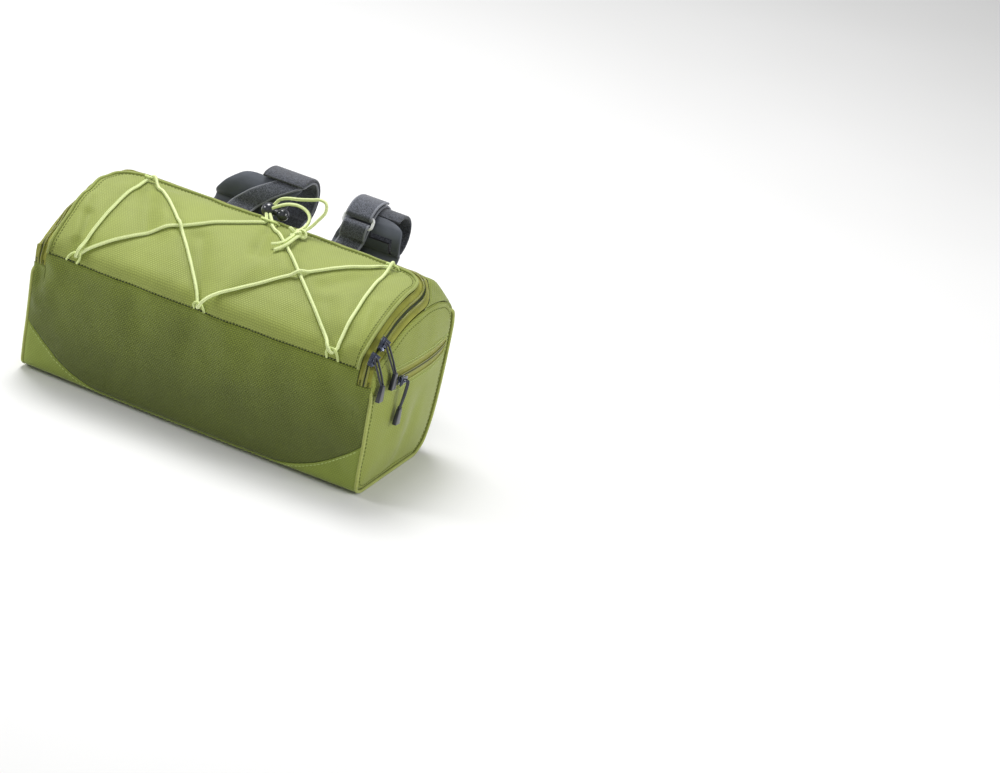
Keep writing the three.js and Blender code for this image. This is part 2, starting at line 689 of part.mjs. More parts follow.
function buildTails() {
  for (const [name, points] of Object.entries(TAILS)) {
    const route = points.map((p) => new THREE.Vector3(...p));
    if (name.startsWith('lace_tail')) {
      const away = route[0].clone().sub(lockBall).normalize();
      route.unshift(lockBall.clone().addScaledVector(away, LOCK.ball + 2 * GAP));
    }
    add(name, cordAlong(route, LACE.radius), finish(COLOUR.lace));
  }
  const knot = bare(new THREE.SphereGeometry(0.5, 12, 8));
  knot.scale(KNOT.length, KNOT.width, KNOT.height);
  add('lace_knot', outwards(knot.translate(...KNOT_AT)), finish(COLOUR.lace));
}

// Places round the bar: an angle in degrees, 0 in front of it and 90 above it.
function roundBar(x, radius, degrees) {
  const angle = THREE.MathUtils.degToRad(degrees);
  return new THREE.Vector3(x, BAR.y - radius * Math.cos(angle), BAR.z + radius * Math.sin(angle));
}

const sideways = new THREE.Vector3(1, 0, 0);
const padRadius = BAR.radius + PAD.clear + PAD.wall / 2;
const strapRadius = BAR.radius + PAD.clear + PAD.wall + GAP + STRAP.wall / 2;

// A point just behind the bag's back at x and height z.
function behindBack(x, z, clear) {
  let low = reach('lid_back');
  let high = reach('back_corner');
  for (let i = 0; i < 40; i += 1) {
    const s = (low + high) / 2;
    if (facePoint(x, s).z > z) {
      low = s;
    } else {
      high = s;
    }
  }
  return onFace(x, low, clear);
}

// A pad hugs the bar's front and comes down to the bag's back. Columns: angle round the bar,
// the edge towards the bag's end, the edge towards its middle.
const PAD_ROWS = {
  bar_pad_left: [
    [-48, -86, -32], [-25, -88, -28], [-5, -83, -25], [15, -78, -22], [35, -73, -19], [48, -66, -17],
    [56, -60, -17],
  ],
  bar_pad_right: [
    [-48, 82, 20], [-25, 83, 23], [-5, 83, 26], [15, 82.5, 28], [35, 81, 29], [48, 77, 29], [56, 72, 29],
  ],
};

function buildPads() {
  for (const [name, table] of Object.entries(PAD_ROWS)) {
    const [, outer, inner] = table[0];
    const foot = behindBack((outer + inner) / 2, PAD.low, PAD.wall / 2 - GAP);
    const rows = [[foot, sideways, Math.abs(outer - inner)]];
    const first = roundBar((outer + inner) / 2, padRadius, table[0][0]);
    for (const share of [0.33, 0.66]) {
      rows.push([foot.clone().lerp(first, share), sideways, Math.abs(outer - inner)]);
    }
    for (const [angle, a, b] of table) {
      rows.push([roundBar((a + b) / 2, padRadius, angle), sideways, Math.abs(a - b)]);
    }
    let pad = ribbon(rows, PAD.wall);
    if (name === 'bar_pad_right') {
      const slot = bare(new THREE.BoxGeometry(PAD.slotWidth, 4 * PAD.wall, PAD.slotHeight));
      slot.translate(PAD.slotX, BAR.y - padRadius, BAR.z + 1);
      pad = toGeometry(toManifold(pad).subtract(toManifold(slot)));
    }
    add(name, pad, finish(COLOUR.pad, 0.6));
  }
}

function buildCuffs() {
  const build = (name, from, to, radius, start, end) => {
    const rows = even(14).map((v) => {
      const angle = THREE.MathUtils.lerp(start, end, v);
      return [roundBar((from + to) / 2, radius, angle), sideways, to - from];
    });
    add(name, ribbon(rows, CUFF.wall), finish(COLOUR.wrap, 0.95));
  };
  const snug = BAR.radius + PAD.clear + CUFF.wall / 2 + 0.4;
  const overStrap = strapRadius + STRAP.wall / 2 + GAP + CUFF.wall / 2 + 0.4;
  build('bar_cuff_right', 29, 75, snug, CUFF.rightStart, CUFF.rightEnd);
  build('bar_cuff_left', -53, -14, overStrap, CUFF.leftStart, CUFF.leftEnd);
}

// The right strap: its free end lies on top, it turns round the ring's upper bar, goes over the
// bar, behind and under it, and forward to the bag's back.
function ringFrame() {
  const middle = strapRadius + STRAP.wall / 2 + GAP + RING.wire / 2;
  const centre = roundBar(RING.x, middle + 0.4, RING.angle);
  const angle = THREE.MathUtils.degToRad(RING.angle);
  const out = new THREE.Vector3(0, -Math.cos(angle), Math.sin(angle));
  const up = new THREE.Vector3(0, Math.sin(angle), Math.cos(angle));
  return { centre, out, up, arm: RING.opening / 2 + RING.wire / 2 };
}

function turnRound(centre, out, up, way, x) {
  const radius = RING.wire * 0.72 + 2 * GAP + STRAP.wall / 2;
  return [90, 60, 30, 0, -30, -60, -90].map((degrees) => {
    const angle = THREE.MathUtils.degToRad(degrees);
    return centre.clone()
      .addScaledVector(out, Math.sin(angle) * radius)
      .addScaledVector(up, -way * Math.cos(angle) * radius)
      .setX(x);
  });
}

function buildRightStraps() {
  const { centre, out, up, arm } = ringFrame();
  const x = RING.x;
  const outerLayer = strapRadius + STRAP.wall + GAP;
  const upper = centre.clone().addScaledVector(up, arm);
  const lower = centre.clone().addScaledVector(up, -arm);
  const topRoute = [
    roundBar(x, outerLayer + 0.4, 112), roundBar(x, outerLayer + 0.6, 95), roundBar(x, outerLayer + 1.6, 78),
    roundBar(x, outerLayer + 3.2, 60), ...turnRound(upper, out, up, 1, x),
    roundBar(x, strapRadius + 0.2, 62), roundBar(x, strapRadius, 78),
    ...[95, 112, 135, 158, 180, 203, 226, 250].map((angle) => roundBar(x, strapRadius, angle)),
    roundBar(x, strapRadius, 268),
  ];
  const end = behindBack(x - 4, STRAP.low, STRAP.wall / 2 + GAP + 0.8);
  topRoute.push(topRoute[topRoute.length - 1].clone().lerp(end, 0.5), end);
  add('bar_strap_right',
    ribbon(topRoute.map((p) => [p, sideways, STRAP.width]), STRAP.wall), finish(COLOUR.strap, 0.95));

  const low = behindBack(x - 9, PAD.low + 16, STRAP.wall / 2 + GAP + 0.8);
  const layers = [
    roundBar(x - 2, outerLayer + 1.6, -10), roundBar(x - 1, outerLayer + 3.4, 2),
    ...turnRound(lower, out, up, -1, x),
    roundBar(x - 1, strapRadius + 0.3, 4), roundBar(x - 2, strapRadius + 0.3, -10),
    roundBar(x - 4, strapRadius + 1.6, -26),
  ];
  layers.push(layers[layers.length - 1].clone().lerp(low, 0.5), low);
  add('ring_strap',
    ribbon(layers.map((p) => [p, sideways, STRAP.width - 0.5]), STRAP.wall), finish(COLOUR.strap, 0.95));

  const frame = new THREE.Shape();
  const [w, h] = [RING.inside / 2 + RING.wire, arm + RING.wire / 2];
  roundedRectangle(frame, w, h, 2.4);
  const hole = new THREE.Path();
  roundedRectangle(hole, w - RING.wire, h - RING.wire, 0.8);
  frame.holes.push(hole);
  const ring = bare(new THREE.ExtrudeGeometry(frame, {
    depth: RING.wire, bevelEnabled: false, curveSegments: 2,
  }));
  ring.translate(0, 0, -RING.wire / 2);
  ring.applyMatrix4(new THREE.Matrix4().makeBasis(sideways, up, out));
  add('strap_ring', outwards(ring.translate(...centre)), finish(COLOUR.ring, 0.3));
}

function roundedRectangle(path, w, h, radius) {
  path.absarc(w - radius, h - radius, radius, 0, Math.PI / 2);
  path.absarc(radius - w, h - radius, radius, Math.PI / 2, Math.PI);
  path.absarc(radius - w, radius - h, radius, Math.PI, Math.PI * 1.5);
  path.absarc(w - radius, radius - h, radius, -Math.PI / 2, 0);
}

// The left strap slants from the bag's back up to the bar and tucks under its cuff.
function buildLeftStrap() {
  const rise = [[-24, 3.4, -62], [-5, 1.2, -54], [12, 0.4, -47], [30, 0, -38], [45, 0, -31], [60, 0, -27]];
  const route = [behindBack(-74, PAD.low + 17, STRAP.wall / 2 + GAP + 1.6)];
  rise.forEach(([angle, more, x]) => route.push(roundBar(x, strapRadius + more, angle)));
  [78, 95, 115, 135, 158, 180, 203, 226, 250, 268].forEach((angle) => {
    route.push(roundBar(-26, strapRadius, angle));
  });
  const end = behindBack(-30, STRAP.low, STRAP.wall / 2 + GAP + 0.8);
  route.splice(1, 0, route[0].clone().lerp(route[1], 0.5));
  route.push(route[route.length - 1].clone().lerp(end, 0.5), end);
  add('bar_strap_left',
    ribbon(route.map((p) => [p, sideways, STRAP.width]), STRAP.wall), finish(COLOUR.strap, 0.95));
}

buildLid();
buildZipBand();
buildSleeve();
buildEnds();
buildPulls();
buildLoops();
buildLace();
buildTails();
buildPads();
buildCuffs();
buildRightStraps();
buildLeftStrap();

export default part;
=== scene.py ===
"""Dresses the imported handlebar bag: cloth, seams, zips, lace, lock and bar straps.

Lengths in the tables are millimetres in the row's frame: +X along the bag to the viewer's right,
-Y out of the front and +Z up. Objects are in metres.
"""
import logging
import math
from dataclasses import dataclass, field
from enum import Enum
from typing import Callable, Sequence

import bpy
import numpy as np
from mathutils import Matrix, Vector


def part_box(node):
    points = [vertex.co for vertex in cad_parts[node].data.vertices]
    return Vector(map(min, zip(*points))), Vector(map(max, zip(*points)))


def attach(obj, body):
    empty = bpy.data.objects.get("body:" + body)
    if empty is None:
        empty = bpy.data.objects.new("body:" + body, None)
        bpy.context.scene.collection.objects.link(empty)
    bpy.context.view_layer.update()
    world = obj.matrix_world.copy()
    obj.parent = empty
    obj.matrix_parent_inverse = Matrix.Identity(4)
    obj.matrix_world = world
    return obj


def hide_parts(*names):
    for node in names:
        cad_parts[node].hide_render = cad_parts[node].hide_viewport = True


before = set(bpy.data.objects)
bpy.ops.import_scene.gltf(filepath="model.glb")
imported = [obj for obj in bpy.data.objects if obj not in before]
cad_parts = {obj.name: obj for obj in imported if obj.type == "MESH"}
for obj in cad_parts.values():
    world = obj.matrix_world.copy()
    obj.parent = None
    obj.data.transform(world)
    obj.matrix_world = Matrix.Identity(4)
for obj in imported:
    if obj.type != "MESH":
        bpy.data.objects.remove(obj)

log = logging.getLogger("handlebar_bag")
MM = 0.001
UV_SCALE = 100.0    # millimetres in one unit of a UV map
GAP = 0.3           # millimetres left between two pieces that meet
KNOT_STEPS = 40     # points between two named points of the outline
FULL_TURN = 2 * math.pi
Array = np.ndarray


# Shader maths

class Value:
    """A number socket that Python's operators add Math nodes to."""

    def __init__(self, shop: "Shader", socket: bpy.types.NodeSocket) -> None:
        """Keeps the socket and the shader that it belongs to."""
        self.shop = shop
        self.socket = socket

    def math(self, operation: str, other: "Value | float | None" = None) -> "Value":
        """One Math node on this value.

        Args:
            operation: the Math node's operation.
            other: the second input, if it has one.

        Returns:
            The node's result.
        """
        inputs = {0: self} if other is None else {0: self, 1: other}
        return self.shop.node("ShaderNodeMath", {"operation": operation}, inputs)

    def reflected(self, operation: str, first: float) -> "Value":
        """One Math node with a plain number as its first input."""
        return self.shop.node("ShaderNodeMath", {"operation": operation}, {0: first, 1: self})

    def __add__(self, other: "Value | float") -> "Value":
        """Sum."""
        return self.math("ADD", other)

    def __radd__(self, other: float) -> "Value":
        """Sum, the other way round."""
        return self.math("ADD", other)

    def __sub__(self, other: "Value | float") -> "Value":
        """Difference."""
        return self.math("SUBTRACT", other)

    def __rsub__(self, other: float) -> "Value":
        """Difference, the other way round."""
        return self.reflected("SUBTRACT", other)

    def __mul__(self, other: "Value | float") -> "Value":
        """Product."""
        return self.math("MULTIPLY", other)

    def __rmul__(self, other: float) -> "Value":
        """Product, the other way round."""
        return self.math("MULTIPLY", other)

    def __truediv__(self, other: "Value | float") -> "Value":
        """Quotient."""
        return self.math("DIVIDE", other)

    def __abs__(self) -> "Value":
        """Size without its sign."""
        return self.math("ABSOLUTE")

    def fract(self) -> "Value":
        """What is left above the whole number below."""
        return self.math("FRACT")

    def floor(self) -> "Value":
        """The whole number below."""
        return self.math("FLOOR")

    def sine(self) -> "Value":
        """Sine of the value in radians."""
        return self.math("SINE")

    def clamped(self) -> "Value":
        """The value held between 0 and 1."""
        return self.shop.node("ShaderNodeClamp", {}, {"Value": self})

    def below(self, edge: float) -> "Value":
        """1 where the value is below the edge, otherwise 0."""
        return self.math("LESS_THAN", edge)


class Shader:
    """One material and its nodes."""

    def __init__(self, name: str) -> None:
        """Starts a material whose only shader is a Principled BSDF.

        Args:
            name: the material's name.
        """
        self.material = bpy.data.materials.new(name)
        self.material.use_nodes = True
        self.tree = self.material.node_tree
        self.surface = self.tree.nodes["Principled BSDF"]

    def node(self, kind: str, settings: dict, inputs: dict, output: int | str = 0) -> Value:
        """Adds a node.

        Args:
            kind: the node's type.
            settings: properties set before the sockets are filled.
            inputs: socket name or number to a number, colour, vector or Value.
            output: which output to return.

        Returns:
            The output as a Value.
        """
        node = self.tree.nodes.new(kind)
        for key, value in settings.items():
            setattr(node, key, value)
        for key, value in inputs.items():
            if isinstance(value, Value):
                self.tree.links.new(value.socket, node.inputs[key])
            else:
                node.inputs[key].default_value = value
        return Value(self, node.outputs[output])

    def place(self) -> Value:
        """Object coordinates."""
        return self.node("ShaderNodeTexCoord", {}, {}, "Object")

    def along_across(self) -> tuple[Value, Value]:
        """The UV map's two coordinates, in millimetres.

        Returns:
            The coordinate along the piece and the one across it.
        """
        uv = self.node("ShaderNodeTexCoord", {}, {}, "UV")
        along = self.node("ShaderNodeSeparateXYZ", {}, {0: uv}, 0)
        across = Value(self, along.socket.node.outputs[1])
        return along * UV_SCALE, across * UV_SCALE

    def noise(self, cell: float, detail: float = 2.0) -> Value:
        """Noise whose lumps are about a cell across, in millimetres of object space."""
        inputs = {"Vector": self.place(), "Scale": 1 / MM / cell, "Detail": detail}
        return self.node("ShaderNodeTexNoise", {"noise_dimensions": "3D"}, inputs)

    def tint(self, factor: Value, low: "Value | tuple", high: tuple) -> Value:
        """A colour between low, which may be a Value, and high.

        Args:
            factor: 0 for low and 1 for high.
            low: the first colour.
            high: the second colour.

        Returns:
            The mixed colour.
        """
        first = low if isinstance(low, Value) else (*low, 1.0)
        return self.node("ShaderNodeMix", {"data_type": "RGBA", "blend_type": "MIX"},
                         {0: factor, 6: first, 7: (*high, 1.0)}, 2)

    def bump(self, height: Value, distance: float) -> Value:
        """A Bump node for a height between 0 and 1 that stands for a distance in millimetres."""
        return self.node("ShaderNodeBump", {},
                         {"Height": height, "Distance": distance * MM, "Strength": 1.0})

    def feed(self, **sockets: "Value | float | tuple") -> bpy.types.Material:
        """Fills the surface's sockets.

        Args:
            sockets: socket names with _ for a space, to numbers, colours or Values.

        Returns:
            The finished material.
        """
        for key, value in sockets.items():
            socket = self.surface.inputs[key.replace("_", " ")]
            if isinstance(value, Value):
                self.tree.links.new(value.socket, socket)
            else:
                socket.default_value = value
        return self.material


def linear(colour: str) -> tuple[float, float, float]:
    """Turns a screen colour such as '94b04e' into linear light."""
    parts = [int(colour[i:i + 2], 16) / 255 for i in (0, 2, 4)]
    return tuple(p / 12.92 if p <= 0.04045 else ((p + 0.055) / 1.055) ** 2.4 for p in parts)


def shaded(colour: tuple, factor: float) -> tuple[float, float, float]:
    """A colour made darker or lighter by a factor."""
    return tuple(min(c * factor, 1.0) for c in colour)


# Finishes

@dataclass(frozen=True)
class ClothFinish:
    """Coated cloth with a low relief of staggered cells."""

    name: str
    colour: str
    cell_wide: float = 2.2
    cell_high: float = 1.6
    relief: float = 0.16
    contrast: float = 1.0
    # painted shade: how much darker the cloth is painted near the floor
    painted_low_shade: float = 0.0
    low_edge: float = 0.035
    low_fade: float = 0.08
    sheen: float = 0.2
    thread: float = 0.55
    wander: float = 0.8

    def painted_shade_share(self, shop: Shader) -> Value:
        """Share of painted shade: 1 near the floor, falling to 0 at the height of the front seam."""
        height = shop.node("ShaderNodeSeparateXYZ", {}, {0: shop.place()}, 2)
        return (1.0 - (height - self.low_edge) / self.low_fade).clamped()

    def material(self) -> bpy.types.Material:
        """Builds the cloth's nodes.

        Returns:
            The finished material.
        """
        shop = Shader(self.name)
        u, v = shop.along_across()
        warp = shop.noise(9.0, 1.0) - 0.5
        row = (v + warp * self.wander) / self.cell_high
        stagger = (row.floor() * 0.5).fract()
        across = ((u + warp * self.wander) / self.cell_wide + stagger).fract() - 0.5
        up = row.fract() - 0.5
        dome = (1.0 - (across * across * 3.2 + up * up * 3.2)).clamped()
        thread = (u * (FULL_TURN / self.thread)).sine() * (v * (FULL_TURN / self.thread)).sine()
        height = dome * 0.8 + thread * 0.08
        cloud = shop.noise(38.0, 3.0)
        grain = shop.noise(1.1, 1.0)
        base = linear(self.colour)
        # painted shade: the colour darkens towards the floor, standing in for the shade on the lower part of
        # the front
        painted_shade = self.painted_shade_share(shop) * self.painted_low_shade
        shade = (dome * 0.6 + cloud * 0.45 + grain * 0.3 - 0.22 - painted_shade).clamped()
        dark, light = 1 - 0.48 * self.contrast, 1 + 0.24 * self.contrast
        colour = shop.tint(shade, shaded(base, dark), shaded(base, light))
        rough = 0.66 - dome * 0.16 + cloud * 0.08
        return shop.feed(
            Base_Color=colour, Roughness=rough, Normal=shop.bump(height, self.relief),
            Sheen_Weight=self.sheen, Sheen_Roughness=0.45, Specular_IOR_Level=0.42,
        )


@dataclass(frozen=True)
class TapeFinish:
    """Woven zip tape: fine ribs across it."""

    name: str
    colour: str
    rib: float = 0.9
    rough: float = 0.62
    row: float = 1.8

    def material(self) -> bpy.types.Material:
        """Builds the tape's nodes.

        Returns:
            The finished material.
        """
        shop = Shader(self.name)
        u, v = shop.along_across()
        herring = abs((v / self.row).fract() - 0.5) * 1.6
        ribs = ((u + herring) * (FULL_TURN / self.rib)).sine() * 0.5 + 0.5
        cloud = shop.noise(14.0, 2.0)
        base = linear(self.colour)
        shade = (ribs * 0.55 + cloud * 0.45).clamped()
        colour = shop.tint(shade, shaded(base, 0.58), shaded(base, 1.2))
        return shop.feed(Base_Color=colour, Roughness=self.rough - ribs * 0.12,
                         Normal=shop.bump(ribs, 0.16), Sheen_Weight=0.15)


@dataclass(frozen=True)
class CordFinish:
    """Braided cord with two thin tracer lines along it."""

    name: str
    colour: str
    tracer: str
    radius: float
    braid: float = 1.25
    tracer_half: float = 0.075

    def material(self) -> bpy.types.Material:
        """Builds the cord's nodes.

        Returns:
            The finished material.
        """
        shop = Shader(self.name)
        u, v = shop.along_across()
        turn = v / self.radius
        one = (u * (FULL_TURN / self.braid) + turn * 3.0).sine()
        two = (u * (FULL_TURN / self.braid) - turn * 3.0).sine()
        braid = one.math("MAXIMUM", two) * 0.5 + 0.5
        line = abs((turn / math.pi).fract() - 0.5).below(self.tracer_half)
        base = linear(self.colour)
        shade = (braid * 0.8 + shop.noise(3.0, 1.0) * 0.3).clamped()
        plain = shop.tint(shade, shaded(base, 0.62), shaded(base, 1.12))
        colour = shop.tint(line * 0.6, plain, linear(self.tracer))
        return shop.feed(Base_Color=colour, Roughness=0.72 - braid * 0.1,
                         Normal=shop.bump(braid, 0.14), Sheen_Weight=0.2)


@dataclass(frozen=True)
class PileFinish:
    """Webbing with a rough napped pile."""

    name: str
    colour: str
    grain: float = 0.8
    depth: float = 0.45

    def material(self) -> bpy.types.Material:
        """Builds the pile's nodes.

        Returns:
            The finished material.
        """
        shop = Shader(self.name)
        fine = shop.noise(self.grain, 3.0)
        tuft = shop.noise(self.grain * 3.2, 1.5)
        speck = ((fine - 0.42) * 5.0).clamped()
        base = linear(self.colour)
        colour = shop.tint((speck * 0.75 + tuft * 0.3).clamped(), shaded(base, 0.3), shaded(base, 2.1))
        height = fine * 0.7 + tuft * 0.3
        return shop.feed(Base_Color=colour, Roughness=0.94 - tuft * 0.08,
                         Normal=shop.bump(height, self.depth), Sheen_Weight=0.3)


@dataclass(frozen=True)
class PadFinish:
    """Smooth close-woven face of a pad."""

    name: str
    colour: str
    thread: float = 0.8

    def material(self) -> bpy.types.Material:
        """Builds the pad's nodes.

        Returns:
            The finished material.
        """
        shop = Shader(self.name)
        u, v = shop.along_across()
        warp, weft = (u * (FULL_TURN / self.thread)).sine(), (v * (FULL_TURN / self.thread)).sine()
        weave = warp * weft * 0.5 + 0.5
        streak = shop.noise(22.0, 3.0)
        base = linear(self.colour)
        colour = shop.tint((streak * 0.7 + weave * 0.3).clamped(), shaded(base, 0.5), shaded(base, 1.6))
        return shop.feed(Base_Color=colour, Roughness=0.52 + streak * 0.18,
                         Normal=shop.bump(weave * 0.4 + shop.noise(1.4, 2.0) * 0.6, 0.12), Sheen_Weight=0.1)


class Gloss(Enum):
    """How shiny a moulded or enamelled piece is: roughness, metallic, coat."""

    MATT = (0.55, 0.0, 0.0)
    SATIN = (0.3, 0.0, 0.4)
    GLOSSY = (0.2, 0.0, 0.6)
    ENAMEL = (0.24, 0.8, 0.5)


@dataclass(frozen=True)
class MouldedFinish:
    """Moulded plastic or enamelled metal with faint handling marks."""

    name: str
    colour: str
    gloss: Gloss

    def material(self) -> bpy.types.Material:
        """Builds the piece's nodes.

        Returns:
            The finished material.
        """
        shop = Shader(self.name)
        smear = shop.noise(5.0, 3.0)
        grain = shop.noise(0.5, 2.0)
        base = linear(self.colour)
        rough, metal, coat = self.gloss.value
        colour = shop.tint((smear * 0.8 + grain * 0.2).clamped(), shaded(base, 0.75), shaded(base, 1.3))
        return shop.feed(Base_Color=colour, Roughness=smear * 0.16 + (rough - 0.06), Metallic=metal,
                         Coat_Weight=coat, Coat_Roughness=0.15, Normal=shop.bump(grain, 0.03))


@dataclass(frozen=True)
class ThreadFinish:
    """Twisted sewing thread."""

    name: str
    colour: str

    def material(self) -> bpy.types.Material:
        """Builds the thread's nodes.

        Returns:
            The finished material.
        """
        shop = Shader(self.name)
        u, v = shop.along_across()
        twist = ((u * 2.4 + v * 2.0) * math.pi).sine() * 0.5 + 0.5
        base = linear(self.colour)
        colour = shop.tint((twist * 0.7 + shop.noise(2.0, 1.0) * 0.3).clamped(),
                           shaded(base, 0.6), shaded(base, 1.2))
        return shop.feed(Base_Color=colour, Roughness=0.7, Normal=shop.bump(twist, 0.06))


@dataclass
class Palette:
    """Every finish of the bag, built once."""

    lid: ClothFinish = ClothFinish("lid_cloth", "98a44c", contrast=0.8)
    # painted shade: the front cloth's colour is darker than the other panels', standing in for the shade on
    # the side that faces away from the lamps; it is darkened further near the floor
    front: ClothFinish = ClothFinish("front_cloth", "7d8c28", contrast=1.3, painted_low_shade=0.5)
    base: ClothFinish = ClothFinish("base_cloth", "8a9a3c", relief=0.1, contrast=0.7)
    back: ClothFinish = ClothFinish("back_cloth", "8a9640")
    end: ClothFinish = ClothFinish("end_cloth", "939f40", contrast=0.8)
    tape: TapeFinish = TapeFinish("zip_tape", "979a2c")
    coil: TapeFinish = TapeFinish("zip_coil", "868a28", rib=1.1, rough=0.4)
    # painted shade: near-black colour for the strips laid in the zips' gaps, where only shade shows
    gap: MouldedFinish = MouldedFinish("zip_gap_painted_shade", "27330e", Gloss.MATT)
    binding: TapeFinish = TapeFinish("lid_binding", "9aa650", rib=1.3)
    piping: TapeFinish = TapeFinish("piping", "adb75c", rib=1.3)
    lace: CordFinish = CordFinish("lace", "dfeba8", "8fa03e", 1.5)
    loop: CordFinish = CordFinish("loops", "d4e393", "a9b85c", 1.0, 0.9)
    pale_thread: ThreadFinish = ThreadFinish("pale_thread", "c3d480")
    green_thread: ThreadFinish = ThreadFinish("green_thread", "2c3c10")
    soft_thread: ThreadFinish = ThreadFinish("soft_thread", "66702a")
    dark_thread: ThreadFinish = ThreadFinish("dark_thread", "15161b")
    slider: MouldedFinish = MouldedFinish("sliders", "4a5062", Gloss.ENAMEL)
    pull_cord: CordFinish = CordFinish("pull_cords", "23262f", "4a4f5c", 1.0, 1.0)
    tab: MouldedFinish = MouldedFinish("pull_tabs", "1d2029", Gloss.SATIN)
    lock: MouldedFinish = MouldedFinish("lock", "2b2e36", Gloss.GLOSSY)
    pad: PadFinish = PadFinish("pads", "484d57")
    cuff: PileFinish = PileFinish("cuffs", "373a42", 1.1, 1.0)
    strap: PileFinish = PileFinish("straps", "484b54", 0.85, 0.5)
    edge: TapeFinish = TapeFinish("strap_edges", "83868f", rib=1.2)
    ring: MouldedFinish = MouldedFinish("ring", "e6e9ee", Gloss.SATIN)
    built: dict[str, bpy.types.Material] = field(default_factory=dict)

    def get(self, which: str) -> bpy.types.Material:
        """The material of a finish, made at its first use.

        Args:
            which: the finish's field.

        Returns:
            Its material.
        """
        if which not in self.built:
            self.built[which] = getattr(self, which).material()
        return self.built[which]


# The barrel

OUTLINE = (  # name, share of the depth, share of the height, share of the fullness
    ("front_seam", 0.000, 0.695, 0.9), ("lid_low", 0.010, 0.752, 0.8), ("lid_front", 0.075, 0.815, 0.6),
    ("lid_rise", 0.205, 0.895, 0.4), ("lid_upper", 0.350, 0.958, 0.2), ("lid_crown", 0.490, 0.990, 0.1),
    ("lid_top", 0.630, 1.000, 0.1), ("lid_back", 0.735, 0.991, 0.1), ("shoulder_top", 0.850, 0.950, 0.1),
    ("shoulder", 0.940, 0.865, 0.2), ("back_high", 0.990, 0.745, 0.4), ("back_middle", 1.000, 0.580, 0.6),
    ("back_low", 0.993, 0.360, 0.5), ("back_foot", 0.965, 0.170, 0.2), ("back_corner", 0.905, 0.050, 0.0),
    ("base_back", 0.800, 0.000, 0.0), ("base_back_flat", 0.680, 0.000, 0.0),
    ("base_middle", 0.480, 0.000, 0.0),
    ("base_front_flat", 0.300, 0.000, 0.0), ("base_front", 0.150, 0.000, 0.0),
    ("front_corner", 0.062, 0.030, 0.2), ("front_foot", 0.045, 0.110, 0.5), ("front_low", 0.034, 0.300, 0.9),
    ("front_high", 0.014, 0.520, 1.0),
)
CREASES = (  # x and s of both ends, half width, height: soft folds of the lid and front
    (-104, 96, -78, 52, 9, -1.5), (-88, 100, -62, 58, 9, 1.2), (-6, 14, -34, 62, 9, -1.6),
    (10, 16, 22, 52, 11, 1.2), (18, 96, 44, 60, 10, 1.2), (8, 98, 16, 66, 7, -1.2),
    (108, 92, 84, 60, 9, -1.5), (112, 14, 92, 44, 9, -1.3), (126, 60, 134, 18, 6, 1.0),
    (-126, 22, -138, 62, 6, 1.2), (-118, 12, -128, 44, 5, -1.2), (-132, -12, -146, -46, 9, 1.3),
    (0, -6, -10, -40, 10, -0.9), (24, -8, 34, -44, 12, 0.8), (118, -8, 128, -40, 9, -1.0),
    (-60, -6, -52, -34, 12, -0.7), (70, -8, 62, -38, 12, 0.7),
)


